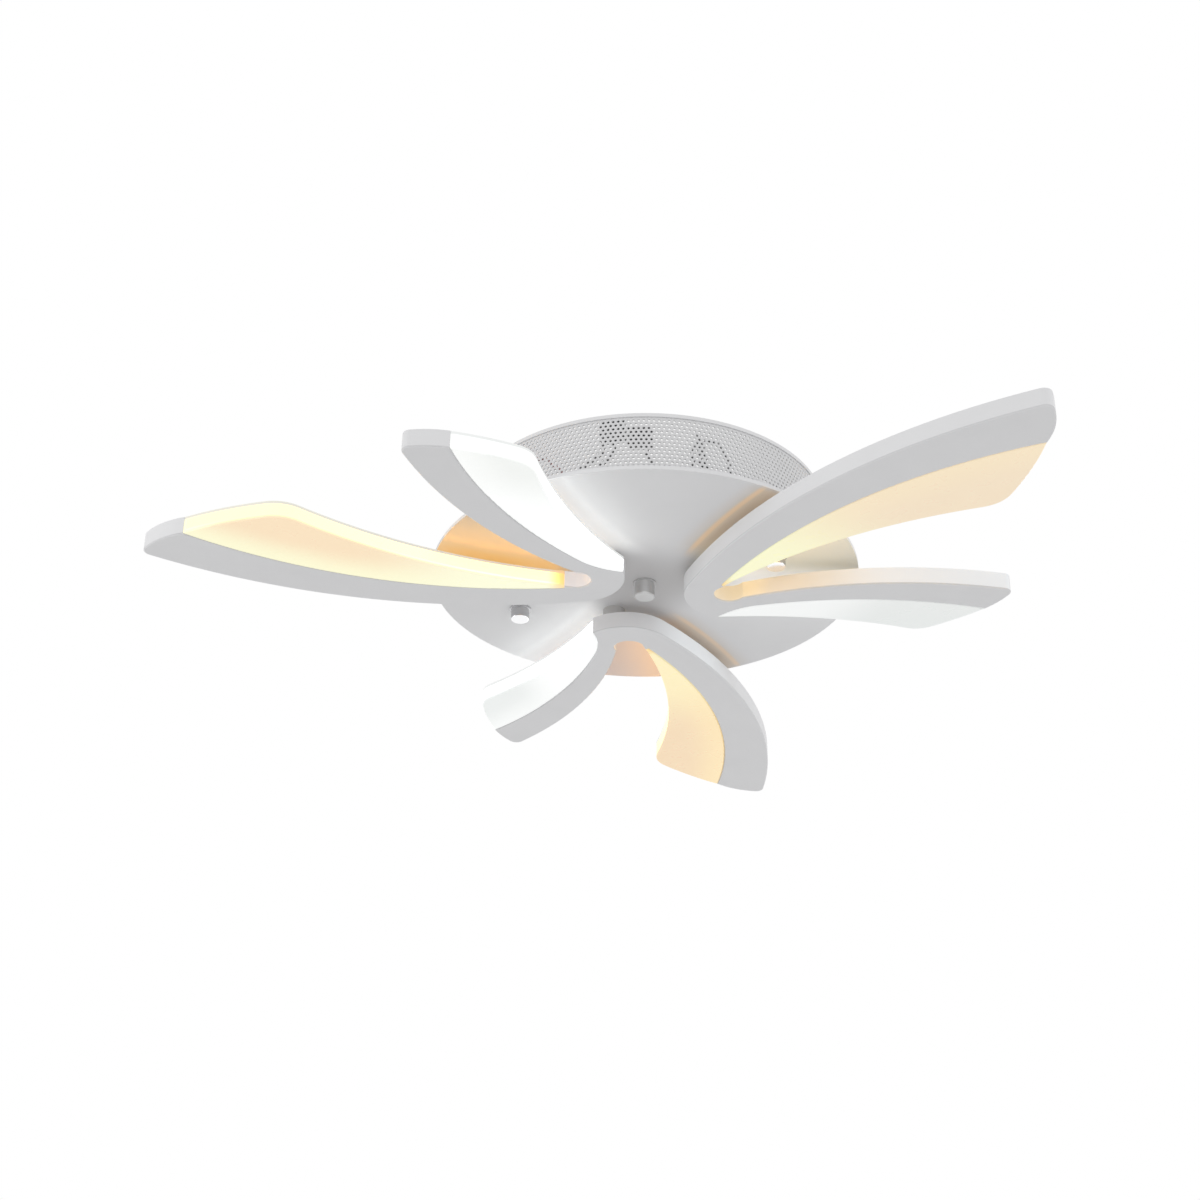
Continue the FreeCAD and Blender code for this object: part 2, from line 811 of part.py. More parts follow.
def level_edges(shape, z, least):
    """Numbers of the edges that lie at one height and are longer than a least length."""
    found = []
    for number, edge in enumerate(shape.Edges, start=1):
        box = edge.BoundBox
        if abs(box.ZMin - z) < 1e-6 and abs(box.ZMax - z) < 1e-6 and edge.Length > least:
            found.append(number)
    return found


def upright_edges(shape):
    """Numbers of the edges that stand upright."""
    found = []
    for number, edge in enumerate(shape.Edges, start=1):
        box = edge.BoundBox
        if box.XLength < 1e-6 and box.YLength < 1e-6:
            found.append(number)
    return found


def soften(base, z):
    """Round the lower edges of a block, apart from the short one at the warm petal's root."""
    doc.recompute()
    radius = size("edge_round")
    return rounded(base, radius, level_edges(base.Shape, z, 2 * size("warm_root_width")))


def head_blocks(level):
    """Solid blanks of the band and the two petals, and the spaces to hollow them out with."""
    z = level["head_low"]
    band = draw_outline("band_outline", BAND)
    warm = draw_outline("warm_outline", WARM_PETAL)
    cool = draw_outline("cool_outline", COOL_PETAL)
    whole = draw_outline("head_outline", WHOLE_HEAD)
    petal_gap = "- seam_clearance"
    blanks = {
        "band": soften(extrude(band, "head_depth", z), z),
        "warm": soften(extrude(offset(warm, petal_gap, sharp=True), "head_depth", z), z),
        "cool": soften(extrude(offset(cool, petal_gap, sharp=True), "head_depth", z), z),
    }
    seat = extrude(offset(whole, "- plate_lip"), "plate_thickness", level["plate_low"])
    petal_wall = "- seam_clearance - diffuser_wall"
    petal_depth = "head_depth - diffuser_floor"
    petal_floor = z + size("diffuser_floor")
    inside = extrude(offset(whole, "- frame_wall"), "head_depth - frame_floor", z + size("frame_floor"))
    kept = [extrude(offset(petal, "frame_wall"), "head_depth", z) for petal in (warm, cool)]
    hollows = {
        "band": fuse(seat, cut(inside, *kept)),
        "warm": fuse(seat, extrude(offset(warm, petal_wall, sharp=True), petal_depth, petal_floor)),
        "cool": fuse(seat, extrude(offset(cool, petal_wall, sharp=True), petal_depth, petal_floor)),
    }
    boards = {}
    board_wall = "- seam_clearance - diffuser_wall - board_inset"
    board_z = level["plate_low"] - size("board_thickness")
    for petal, outline in (("warm", warm), ("cool", cool)):
        boards[petal] = extrude(offset(outline, board_wall, sharp=True), "board_thickness", board_z)
    plate = extrude(offset(whole, "- plate_lip - plate_clearance"), "plate_thickness", level["plate_low"])
    return blanks, hollows, boards, plate


def chip_row(petal, stretches, start, z):
    """LED chips in a row beside a seam, from one share of its arc to another."""
    names = [stretch[0] for stretch in stretches]
    centre, radius = stretch_circle(stretches, start)
    begin = corner_point(start) - centre
    finish = corner_point(names[names.index(start) + 1]) - centre
    low, high = math.atan2(begin.y, begin.x), math.atan2(finish.y, finish.x)
    number = int(size(f"{petal}_chip_count"))
    first, last = size(f"{petal}_chip_first_share"), size(f"{petal}_chip_last_share")
    reach = radius - size(f"{petal}_chip_row")
    chips = []
    for i in range(number):
        share = first + (last - first) * i / (number - 1)
        angle = low + (high - low) * share
        x = centre.x + reach * math.cos(angle)
        y = centre.y + reach * math.sin(angle)
        chips.append(block("chip_width", "chip_length", "chip_height", x, y, z, math.degrees(angle)))
    return chips


def heads(level):
    """The three heads: channel, trays, boards, back plate, stem and spacers of each."""
    blanks, hollows, boards, plate_block = head_blocks(level)
    stem_x, stem_y = stem_place()
    arm_x, arm_y = arm_place()
    floor = level["head_low"] + size("frame_floor")
    boss_height = "head_depth - frame_floor - plate_thickness"
    screw_places = plate_screw_places()
    bosses = [cylinder("boss_radius", boss_height, at(x, y, floor)) for x, y in screw_places]
    pilots = [cylinder("plate_screw_radius + thread_clearance", boss_height, at(x, y, floor))
              for x, y in screw_places]
    channel = fuse(cut(blanks["band"], hollows["band"]), *bosses)
    drilled = [("plate_screw_radius + hole_clearance", x, y) for x, y in screw_places]
    drilled.append(("stem_radius + hole_clearance", stem_x, stem_y))
    drilled.append(("arm_screw_radius + hole_clearance", arm_x, arm_y))
    plate_holes = [cylinder(radius, "plate_thickness", at(x, y, level["plate_low"]))
                   for radius, x, y in drilled]
    chip_z = level["plate_low"] - size("board_thickness") - size("chip_height")
    chips = {
        "warm": chip_row("warm", WARM_PETAL, "warm_root", chip_z),
        "cool": chip_row("cool", COOL_PETAL, "cool_bend", chip_z),
    }
    stem_low = level["plate_low"] - size("stem_below_plate")
    stem_length = "stem_above_disc + disc_thickness + head_gap + plate_thickness + stem_below_plate"
    for name in HEADS:
        turn = at(turn=angle_of(name))
        keep(f"head_{name}_frame", cut(channel, *pilots), turn)
        keep(f"head_{name}_back_plate", cut(plate_block, *plate_holes), turn)
        for petal in ("warm", "cool"):
            keep(f"head_{name}_{petal}_diffuser", cut(blanks[petal], hollows[petal]), turn)
            keep(f"head_{name}_{petal}_led_board", fuse(boards[petal], *chips[petal]), turn)
        outside = cylinder("stem_radius", stem_length, at(stem_x, stem_y, stem_low))
        bore = cylinder("stem_bore_radius", stem_length, at(stem_x, stem_y, stem_low))
        keep(f"head_{name}_stem", cut(outside, bore), turn)
        collar = cut(
            cylinder("collar_radius", "head_gap", at(stem_x, stem_y, level["head_top"])),
            cylinder("stem_radius + hole_clearance", "head_gap", at(stem_x, stem_y, level["head_top"])),
        )
        spacer = cut(
            cylinder("arm_spacer_radius", "head_gap", at(arm_x, arm_y, level["head_top"])),
            cylinder("arm_screw_radius + hole_clearance", "head_gap", at(arm_x, arm_y, level["head_top"])),
        )
        keep(f"head_{name}_spacers", group(collar, spacer), turn)


def head_fasteners(level):
    """Nuts on the stems, screws and nuts of the arms, and screws of the back plates."""
    stem_bore = "stem_radius + thread_clearance"
    nut_low = level["plate_low"] - size("stem_nut_height")
    nuts = []
    for x, y in head_places(stem_place()):
        for z in (level["disc_top"], nut_low):
            nuts.append(hex_nut("stem_nut_corner", stem_bore, "stem_nut_height", x, y, z))
    keep("stem_nuts", group(*nuts))
    arm_length = "disc_thickness + head_gap + plate_thickness + arm_screw_below_plate"
    arm_bore = "arm_screw_radius + thread_clearance"
    arm_nut_low = level["plate_low"] - size("hex_nut_height")
    places = head_places(arm_place())
    keep("arm_screws", group(*[
        pan_screw("arm_screw_radius", arm_length, x, y, level["disc_top"]) for x, y in places
    ]))
    keep("arm_nuts", group(*[
        hex_nut("hex_nut_corner", arm_bore, "hex_nut_height", x, y, arm_nut_low) for x, y in places
    ]))
    screws = []
    for place in plate_screw_places():
        for x, y in head_places(place):
            low = level["head_top"] - size("plate_screw_length")
            shank = cylinder("plate_screw_radius", "plate_screw_length", at(x, y, low))
            head = cylinder("plate_screw_head_radius", "plate_screw_head_height",
                            at(x, y, level["head_top"]))
            slot_z = level["head_top"] + size("plate_screw_head_height") - size("drive_slot_depth")
            slot = block("2 * plate_screw_head_radius", "drive_slot_width", "drive_slot_depth",
                         x, y, slot_z)
            screws.append(cut(fuse(shank, head), slot))
    keep("plate_screws", group(*screws))


# Electrics inside the canopy


def cornered(base):
    """Block with its upright edges rounded, as a moulded case has them."""
    doc.recompute([base])
    return rounded(base, size("driver_corner_radius"), upright_edges(base.Shape))


def drivers(level):
    """Two LED drivers, each a hollow case with a lid, taped to the disc."""
    pads = []
    low = level["disc_top"] + size("tape_thickness")
    for name, side in (("warm", -1), ("cool", 1)):
        y = side * size(f"{name}_driver_reach")
        pads.append(block("driver_length - tape_margin", "driver_width - tape_margin", "tape_thickness",
                          0, y, level["disc_top"]))
        outside = block("driver_length", "driver_width", "driver_height - driver_lid_thickness", 0, y, low)
        inside = block("driver_length - 2 * driver_wall", "driver_width - 2 * driver_wall",
                       "driver_height - driver_lid_thickness", 0, y, low + size("driver_wall"))
        keep(f"{name}_driver_case", cut(cornered(outside), inside))
        lid_z = low + size("driver_height") - size("driver_lid_thickness")
        lid = block("driver_length", "driver_width", "driver_lid_thickness", 0, y, lid_z)
        corners = cornered(lid)
        doc.recompute([corners])
        top = level_edges(corners.Shape, lid_z + size("driver_lid_thickness"), 0.0)
        keep(f"{name}_driver_lid", rounded(corners, size("driver_lid_round"), top))
    x, y = -size("terminal_reach"), -size("terminal_offset")
    pads.append(block("terminal_length - tape_margin", "terminal_width - tape_margin", "tape_thickness",
                      x, y, level["disc_top"]))
    keep("tape_pads", group(*pads))


def terminal_block(level):
    """Three-pole block with a funnel through each pole and two clamp screws in it."""
    x, y = -size("terminal_reach"), -size("terminal_offset")
    low = level["disc_top"] + size("tape_thickness")
    body = block("terminal_length", "terminal_width", "terminal_height", x, y, low)
    funnels, wells, screws = [], [], []
    upright = FreeCAD.Rotation(FreeCAD.Vector(1, 0, 0), 90)
    top = low + size("terminal_height")
    for pole in (-1, 0, 1):
        pole_x = x + pole * size("terminal_pitch")
        funnel = cylinder("terminal_funnel_radius", "terminal_width")
        centre = FreeCAD.Vector(pole_x, y + size("terminal_width") / 2, low + size("terminal_height") / 3)
        funnel.Placement = FreeCAD.Placement(centre, upright)
        funnels.append(funnel)
        for side in (-1, 1):
            screw_y = y + side * size("terminal_width") / 4
            screw_z = top - size("terminal_screw_depth")
            wells.append(cylinder("terminal_screw_radius + thread_clearance", "terminal_screw_depth",
                                  at(pole_x, screw_y, screw_z)))
            post = cylinder("terminal_screw_radius", "terminal_screw_depth - drive_slot_depth",
                            at(pole_x, screw_y, screw_z))
            slot_z = top - 2 * size("drive_slot_depth")
            slot = block("2 * terminal_screw_radius", "drive_slot_width", "drive_slot_depth",
                         pole_x, screw_y, slot_z)
            screws.append(cut(post, slot))
    keep("terminal_block", cut(body, *funnels, *wells))
    keep("terminal_screws", group(*screws))


# Push-in connectors on the wall: direction from the axis in degrees, and height of the lower face.
CONNECTORS = {"first": (-77.0, -12.5), "second": (-68.2, -17.5)}


def connector_reach():
    """Distance of a connector's middle from the axis: its flat back lies just inside the rim."""
    rim = size("wall_radius") - size("wall_thickness") - size("sheet_clearance") - size("rim_thickness")
    corner = rim - size("connector_clearance")
    flat = math.sqrt(corner ** 2 - (size("connector_length") / 2) ** 2)
    return flat - size("connector_depth") / 2


def lead_connectors():
    blocks = []
    for direction, z in CONNECTORS.values():
        turn = math.radians(direction)
        reach = connector_reach()
        x, y = reach * math.cos(turn), reach * math.sin(turn)
        blocks.append(block("connector_depth", "connector_length", "connector_height", x, y, z, direction))
    keep("lead_connectors", group(*blocks))


def on_circle(reach, direction, z):
    """Point at a distance and a direction from the lamp's axis."""
    turn = math.radians(direction)
    return FreeCAD.Vector(reach * math.cos(turn), reach * math.sin(turn), z)


def below_connector(name, aside):
    """Point on a connector's lower face, some degrees aside of its middle."""
    direction, z = CONNECTORS[name]
    return on_circle(connector_reach(), direction + aside, z)


def into_stem(name, approach, level):
    """Last points of a lead that arches over a stem's top and drops into its bore."""
    x, y = in_lamp(stem_place(), name)
    top = level["disc_top"] + size("stem_above_disc")
    turn = math.radians(approach)
    arch = ((16.5, 9.8), (8.4, 14.2), (1.3, 9.6), (0.0, -4.2))
    return [FreeCAD.Vector(x + d * math.cos(turn), y + d * math.sin(turn), top + h) for d, h in arch]


def lead_routes(level):
    """Hand-chosen points of each lead."""
    floor = level["disc_top"] + size("lead_radius") + size("lead_floor_gap")
    wall = size("wall_radius") - size("wall_thickness") - size("lead_wall_gap") - size("lead_radius")
    vector = FreeCAD.Vector
    left_start = below_connector("first", -3.0)
    far_start = below_connector("first", 0.5)
    right_start = below_connector("second", 2.0)
    return {
        "lead_left_head": [left_start, left_start + vector(0, 0, -7.5), on_circle(wall, -86.8, -28),
                           on_circle(wall, -94.5, -40), on_circle(94.5, -102.5, -44),
                           vector(-35, -88.5, floor), vector(-51.5, -80, floor), vector(-57, -62, floor),
                           vector(-50, -45.5, floor), vector(-35, -37, floor + 2)]
        + into_stem("left", 176, level),
        "lead_far_head": [far_start, far_start + vector(0, 0, -9), on_circle(wall, -81.8, -30),
                          on_circle(96, -90, -36.5), vector(-17, -92, -38.5), vector(-37, -88, -39.5),
                          vector(-54, -80.5, -41), vector(-64, -63, -42.5), vector(-60, -44, floor + 1),
                          vector(-45, -31, floor), vector(-32, -17, floor), vector(-28, 0, floor + 2)]
        + into_stem("far", -80, level),
        "lead_right_head": [right_start, right_start + vector(0, 0, -8), on_circle(wall, -61.8, -33.5),
                            on_circle(95, -57.5, -41.5), vector(55, -70, floor), vector(57, -52, floor),
                            vector(61, -34, floor), vector(61, -14, floor), vector(57, 2, floor + 3)]
        + into_stem("right", -22, level),
        "earth_lead": [vector(50, 0, -4.2), vector(50, 0, -19), vector(53, -22, -20),
                       vector(57, -42, -12), vector(61.5, -62, -4), vector(64.3, -76.6, -5),
                       vector(66.5, -75.4, -34), vector(78.5, -62.8, -35), vector(77.5, -63.8, -17),
                       vector(70.5, -68.5, -7), vector(57, -68, -8.5), vector(58, -65, -23),
                       vector(57, -62, -34), vector(45.05, -62, -34)],
        "red_lead": [vector(-58, -21, -40.8), vector(-58, -30, -40.8), vector(-61, -45, -33),
                     vector(-59, -61, -22), vector(-48, -79, -12), vector(-33, -92, -8.5),
                     vector(-18, -97.5, -14), vector(-9, -97.5, -25), vector(-1, -95, -33),
                     vector(9, -90.5, -36.5), vector(9, -80.05, -36.5)],
    }


def rounded_route(points):
    """Route of straight runs joined by arcs, each as large as its two runs allow, and its least radius."""
    edges, least = [], None
    start = points[0]
    for before, corner, after in zip(points, points[1:], points[2:]):
        into, out = corner - before, after - corner
        half_turn = into.getAngle(out) / 2
        setback = 0.45 * min(into.Length, out.Length)
        radius = setback / math.tan(half_turn)
        first = corner - into.normalize() * setback
        last = corner + out.normalize() * setback
        bisector = (last + first) / 2 - corner
        depth = radius / math.cos(half_turn) - radius
        middle = corner + bisector.normalize() * depth
        edges += [Part.LineSegment(start, first).toShape(), Part.Arc(first, middle, last).toShape()]
        start = last
        least = radius if least is None else min(least, radius)
    edges.append(Part.LineSegment(start, points[-1]).toShape())
    return Part.Wire(edges), least


def leads(level):
    """Round leads along their routes; each volume is compared with section times length."""
    for name, points in lead_routes(level).items():
        path, least = rounded_route(points)
        direction = points[1] - points[0]
        section = Part.Wire(Part.makeCircle(size("lead_radius"), points[0], direction))
        item = doc.addObject("Part::Feature", name)
        item.Shape = path.makePipeShell([section], True, True)
        ratio = item.Shape.Volume / (math.pi * size("lead_radius") ** 2 * path.Length)
        print(f"{name}: length {path.Length:.0f} mm, least radius {least:.1f} mm, volume ratio {ratio:.4f}")
        keep(name, item)


def write_parts():
    """Check every object and sub-part, then write one file for each sub-part."""
    doc.recompute()
    failed = [item.Label for item in doc.Objects if "Invalid" in item.State or "Error" in item.State]
    if failed:
        raise RuntimeError(f"objects failed: {failed}")
    for label, item in nodes.items():
        shape = item.Shape
        if shape.isNull() or not shape.isValid() or not shape.Solids:
            raise RuntimeError(f"no valid solid in {label}")
    os.makedirs("parts", exist_ok=True)
    for label, item in nodes.items():
        item.Shape.exportStep(f"parts/{label}.step")
    print(f"{len(nodes)} sub-parts written")


fill_sheet()
level = levels()
ceiling_bracket(level)
studs(level)
canopy_plate(level)
perforated_wall(level)
wall_rim()
wall_foot(level)
cap_nuts(level)
finial(level)
drivers(level)
terminal_block(level)
lead_connectors()
leads(level)
heads(level)
head_fasteners(level)
write_parts()
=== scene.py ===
import math

import bmesh
import bpy
import numpy as np
from mathutils import Matrix, Vector


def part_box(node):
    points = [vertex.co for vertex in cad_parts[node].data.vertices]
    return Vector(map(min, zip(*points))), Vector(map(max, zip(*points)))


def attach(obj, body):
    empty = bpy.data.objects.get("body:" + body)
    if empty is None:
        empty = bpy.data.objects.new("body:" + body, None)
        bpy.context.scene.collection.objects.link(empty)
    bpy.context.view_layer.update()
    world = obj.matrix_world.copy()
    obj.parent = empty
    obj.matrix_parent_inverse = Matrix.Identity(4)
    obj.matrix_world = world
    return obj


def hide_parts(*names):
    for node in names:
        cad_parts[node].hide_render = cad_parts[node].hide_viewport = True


bl_info = {
    "name": "Petal ceiling lamp",
    "version": (1, 0, 0),
    "blender": (4, 5, 0),
    "location": "View3D > Sidebar > Lamp",
    "description": "Dresses a ceiling lamp: perforated canopy, turned nuts, paint and glowing petals",
    "category": "Object",
}

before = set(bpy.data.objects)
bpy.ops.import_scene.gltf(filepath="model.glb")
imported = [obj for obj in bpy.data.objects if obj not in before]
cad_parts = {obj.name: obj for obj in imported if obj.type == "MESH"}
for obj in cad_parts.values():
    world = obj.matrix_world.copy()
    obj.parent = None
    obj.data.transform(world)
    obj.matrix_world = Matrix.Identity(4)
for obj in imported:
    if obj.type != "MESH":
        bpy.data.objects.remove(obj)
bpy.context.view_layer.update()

# Directions of the three heads about the lamp's axis, in degrees, and the level of their lower faces
HEADS = {"left": 203.3, "right": 323.3, "far": 83.3}
HEAD_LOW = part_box("head_left_frame")[0].z

# Arcs in a head's plan view, in metres: centre along, centre across, radius
WARM_SEAM = (0.0714, 0.3157, 0.2928)
WARM_OUTER = (0.0892, 0.3317, 0.3286)
WARM_FREE = (-0.01407, 0.31992, 0.3)
COOL_SEAM = (-0.1413, 0.2269, 0.2468)
COOL_GAP = (-0.1124, 0.2369, 0.2466)
COOL_FREE = (-0.211, 0.2025, 0.2745)

# Point near the round end of the gap between a head's arms, in the same plan view
GAP_END = (0.043, 0.0336, 0.0)

# Bore radius and thickness of the closed end of the cap nuts and of the finial, in metres
NUT_BORE, NUT_END = 0.00205, 0.0013
FINIAL_BORE, FINIAL_END = 0.00255, 0.0022

# Angle past which an edge of a turned piece stays sharp
SHARP_ANGLE = math.radians(40)

# Light from the faces of the petals: in the middle, beside the seam and at the root
WARM_FACE = {
    "left": ((0.39, 0.256, 0.135), (0.425, 0.445, 0.272), (0.425, 0.47, 0.33)),
    "right": ((0.33, 0.24, 0.163), (0.36, 0.27, 0.165), (0.4, 0.436, 0.243)),
    "far": ((0.34, 0.2, 0.085), (0.41, 0.275, 0.09), (0.425, 0.36, 0.15)),
}
COOL_FACE = {
    "left": ((0.35, 0.355, 0.34), (0.42, 0.42, 0.41), (0.46, 0.46, 0.46)),
    "right": ((0.24, 0.25, 0.245), (0.25, 0.255, 0.25), (0.36, 0.36, 0.36)),
    "far": ((0.29, 0.3, 0.295), (0.39, 0.395, 0.39), (0.44, 0.44, 0.44)),
}

# Light from the upper rims of the petals, and a warm petal's root end: painted orange glow in its colour,
# and its light
WARM_RIM = (0.16, 0.2, 0.24)
COOL_RIM = (0.22, 0.22, 0.22)
ROOT_END_PAINTED_GLOW = (0.95, 0.62, 0.25)
ROOT_END_LIGHT = (0.35, 0.2, 0.03)

# Share of the full strength that the sides of each warm petal have
WARM_SHARE = {"left": 1.0, "right": 0.75, "far": 0.75}

# Where a cool face fades from its middle to its root, in metres across the head's plan view
COOL_FADE = {"left": (0.15, 0.105), "right": (0.125, 0.08), "far": (0.13, 0.095)}

# Light on each channel around its gap's end, and on the walls that face a lit petal: arc of the wall, and
# where the light starts and ends, in metres along the head's plan view
GAP_END_LIGHT = {"left": (0.16, 0.16, 0.18), "right": (0.2, 0.12, 0.0), "far": (0.16, 0.1, 0.05)}
LIT_WALL = {"right": (COOL_GAP, 0.06, 0.3), "far": (WARM_OUTER, 0.02, 0.08)}
WALL_LIGHT = (0.13, 0.15, 0.16)

# Shade in the middle of the disc, and the strip beside a warm arm: its share, the colour of its painted
# shade, fringe and line
CENTRE_SHADE = (0.3, 0.28, 0.27)
STRIP_SHARE = {"right": 1.0, "far": 0.7}
STRIP_PAINTED_SHADE = (0.84, 0.7, 0.55)
FRINGE_LIGHT = (0.05, 0.045, 0.04)
LINE_LIGHT = (0.15, 0.08, 0.02)

# Disc between the arms of each head: colour tinted by painted light, light, and how far from the warm
# petal's free edge into the gap the light starts and ends, in metres
DISC_GAP = {
    "left": ((0.74, 0.62, 0.48), (0.4, 0.22, 0.05), -0.016, 0.012),
    "right": ((0.74, 0.71, 0.64), (0.17, 0.17, 0.12), -0.006, 0.09),
    "far": ((0.75, 0.64, 0.6), (0.06, 0.03, 0.0), -0.006, 0.04),
}

# Light on the disc beside a cool petal, and no light at all
COOL_LIGHT = (0.32, 0.325, 0.32)
NO_LIGHT = (0.0, 0.0, 0.0, 1.0)

# Ranges of a noise over which a number or a colour changes
NOISE_RANGE = (0.3, 0.7)
METAL_RANGE = (0.35, 0.65)

# Factors that leave the height out of a place
PLAN = (1.0, 1.0, 0.0)


# Settings that a user may change


class CanopySettings(bpy.types.PropertyGroup):
    """Sheet of the canopy's wall and the paint of all sheet pieces."""

    hole_pitch: bpy.props.FloatProperty(
        name="Hole pitch", description="Distance between neighbouring holes of the wall",
        default=0.00282, min=0.001, unit="LENGTH", precision=5)
    hole_width: bpy.props.FloatProperty(
        name="Hole width", description="Width of each hole of the wall",
        default=0.0016, min=0.0003, unit="LENGTH", precision=5)
    sheet_depth: bpy.props.FloatProperty(
        name="Sheet depth", description="Depth of the wall's sheet",
        default=0.0008, min=0.0002, unit="LENGTH", precision=5)
    plain_top: bpy.props.FloatProperty(
        name="Plain top", description="Height of the wall above its first row of holes",
        default=0.0022, min=0.0, unit="LENGTH", precision=5)
    plain_foot: bpy.props.FloatProperty(
        name="Plain foot", description="Height of the wall below its last row of holes",
        default=0.0015, min=0.0, unit="LENGTH", precision=5)
    paint: bpy.props.FloatVectorProperty(
        name="Paint", description="Colour of the powder coat",
        default=(0.83, 0.83, 0.84), size=3, min=0.0, max=1.0, subtype="COLOR")
    # Painted light: the holes and the inside take this paler colour to set how light the holes look.
    hole_painted_light: bpy.props.FloatVectorProperty(
        name="Inside paint", description="Colour of the thin coat in the wall's holes and on its inside",
        default=(0.82, 0.82, 0.82), size=3, min=0.0, max=1.0, subtype="COLOR")


class GlowSettings(bpy.types.PropertyGroup):
    """Light of the warm and the cool petals."""

    warm_acrylic: bpy.props.FloatVectorProperty(
        name="Warm acrylic", description="Colour of the warm petals under outside light",
        default=(0.8, 0.72, 0.55), size=3, min=0.0, max=1.0, subtype="COLOR")
    cool_acrylic: bpy.props.FloatVectorProperty(
        name="Cool acrylic", description="Colour of the cool petals under outside light",
        default=(0.78, 0.8, 0.79), size=3, min=0.0, max=1.0, subtype="COLOR")
    warm_side: bpy.props.FloatVectorProperty(
        name="Warm side", description="Light from the sides of the warm petals",
        default=(1.0, 0.54, 0.085), size=3, min=0.0, max=1.0, subtype="COLOR")
    cool_side: bpy.props.FloatVectorProperty(
        name="Cool side", description="Light from the sides of the cool petals",
        default=(0.96, 1.0, 0.99), size=3, min=0.0, max=1.0, subtype="COLOR")
    warm_strength: bpy.props.FloatProperty(
        name="Warm strength", description="Strength of the light from the warm petals' sides",
        default=5.0, min=0.0)
    cool_strength: bpy.props.FloatProperty(
        name="Cool strength", description="Strength of the light from the cool petals' sides",
        default=2.0, min=0.0)


class MetalSettings(bpy.types.PropertyGroup):
    """Colours of the bare metal pieces."""

    chrome: bpy.props.FloatVectorProperty(
        name="Chrome", description="Sides of the cap nuts",
        default=(0.6, 0.6, 0.61), size=3, min=0.0, max=1.0, subtype="COLOR")
    # Painted highlight: the nuts' lower ends are given a paler colour than their sides.
    chrome_end_highlight: bpy.props.FloatVectorProperty(
        name="Chrome end", description="Polished lower ends of the cap nuts",
        default=(0.95, 0.95, 0.96), size=3, min=0.0, max=1.0, subtype="COLOR")
    nickel: bpy.props.FloatVectorProperty(
        name="Nickel", description="Satin side of the finial",
        default=(0.69, 0.69, 0.69), size=3, min=0.0, max=1.0, subtype="COLOR")
    # Painted shade: the finial's end and its washer are the same nickel painted darker than its side.
    nickel_end_shade: bpy.props.FloatVectorProperty(
        name="Nickel end", description="Lower end of the finial, and its washer",
        default=(0.57, 0.57, 0.57), size=3, min=0.0, max=1.0, subtype="COLOR")
    zinc: bpy.props.FloatVectorProperty(
        name="Zinc", description="Plated steel of bracket, screws, stems and nuts",
        default=(0.6, 0.61, 0.63), size=3, min=0.0, max=1.0, subtype="COLOR")
    brass: bpy.props.FloatVectorProperty(
        name="Brass", description="Terminal and earth screws",
        default=(0.76, 0.56, 0.26), size=3, min=0.0, max=1.0, subtype="COLOR")


class StageSettings(bpy.types.PropertyGroup):
    """Camera, light and floor."""

    distance: bpy.props.FloatProperty(
        name="Distance", description="From the camera to the lamp's lowest point on its axis",
        default=1.1079, min=0.1, unit="LENGTH", precision=4)
    heading: bpy.props.FloatProperty(
        name="Heading", description="Direction of the camera, turned about the lamp's axis",
        default=math.radians(23.13), subtype="ANGLE")
    climb: bpy.props.FloatProperty(
        name="Climb", description="Angle at which the camera looks up",
        default=math.radians(28.184), subtype="ANGLE")
    pan: bpy.props.FloatProperty(
        name="Pan", description="Turn of the camera to the side",
        default=math.radians(1.347), subtype="ANGLE")
    tilt: bpy.props.FloatProperty(
        name="Tilt", description="Turn of the camera up or down",
        default=math.radians(0.256), subtype="ANGLE")
    roll: bpy.props.FloatProperty(
        name="Roll", description="Turn of the camera about its own axis",
        default=math.radians(-0.027), subtype="ANGLE")
    focal_length: bpy.props.FloatProperty(
        name="Focal length", description="Focal length of the camera in millimetres",
        default=56.905, min=1.0)
    ambient: bpy.props.FloatProperty(
        name="Ambient", description="Strength of the soft light from all sides",
        default=0.66, min=0.0)
    front_power: bpy.props.FloatProperty(
        name="Front light", description="Power of the soft light in front of the lamp",
        default=9.0, min=0.0, unit="POWER")
    left_power: bpy.props.FloatProperty(
        name="Left light", description="Power of the soft light at the left of the lamp",
        default=3.0, min=0.0, unit="POWER")
    right_power: bpy.props.FloatProperty(
        name="Right light", description="Power of the soft light at the right of the lamp",
        default=10.0, min=0.0, unit="POWER")
    floor_drop: bpy.props.FloatProperty(
        name="Floor drop", description="Height of the ceiling above the floor",
        default=2.4, min=0.5, unit="LENGTH")


# Meshes


def new_piece(name, points, quads):
    """Object from an array of points and an array of four-sided faces."""
    mesh = bpy.data.meshes.new(name)
    mesh.vertices.add(len(points))
    mesh.vertices.foreach_set("co", points.astype(np.float32).ravel())
    mesh.loops.add(quads.size)
    mesh.loops.foreach_set("vertex_index", quads.astype(np.int32).ravel())
    mesh.polygons.add(len(quads))
    mesh.polygons.foreach_set("loop_start", np.arange(0, quads.size, 4, dtype=np.int32))
    mesh.update(calc_edges=True)
    if mesh.validate():
        raise RuntimeError(f"{name} has faulty faces")
    piece = bpy.data.objects.new(name, mesh)
    bpy.context.scene.collection.objects.link(piece)
    return piece


def merge_poles(piece, distance=1e-6):
    """Merge the points that fall together where a turned surface meets its axis."""
    work = bmesh.new()
    work.from_mesh(piece.data)
    bmesh.ops.remove_doubles(work, verts=work.verts, dist=distance)
    work.to_mesh(piece.data)
    work.free()


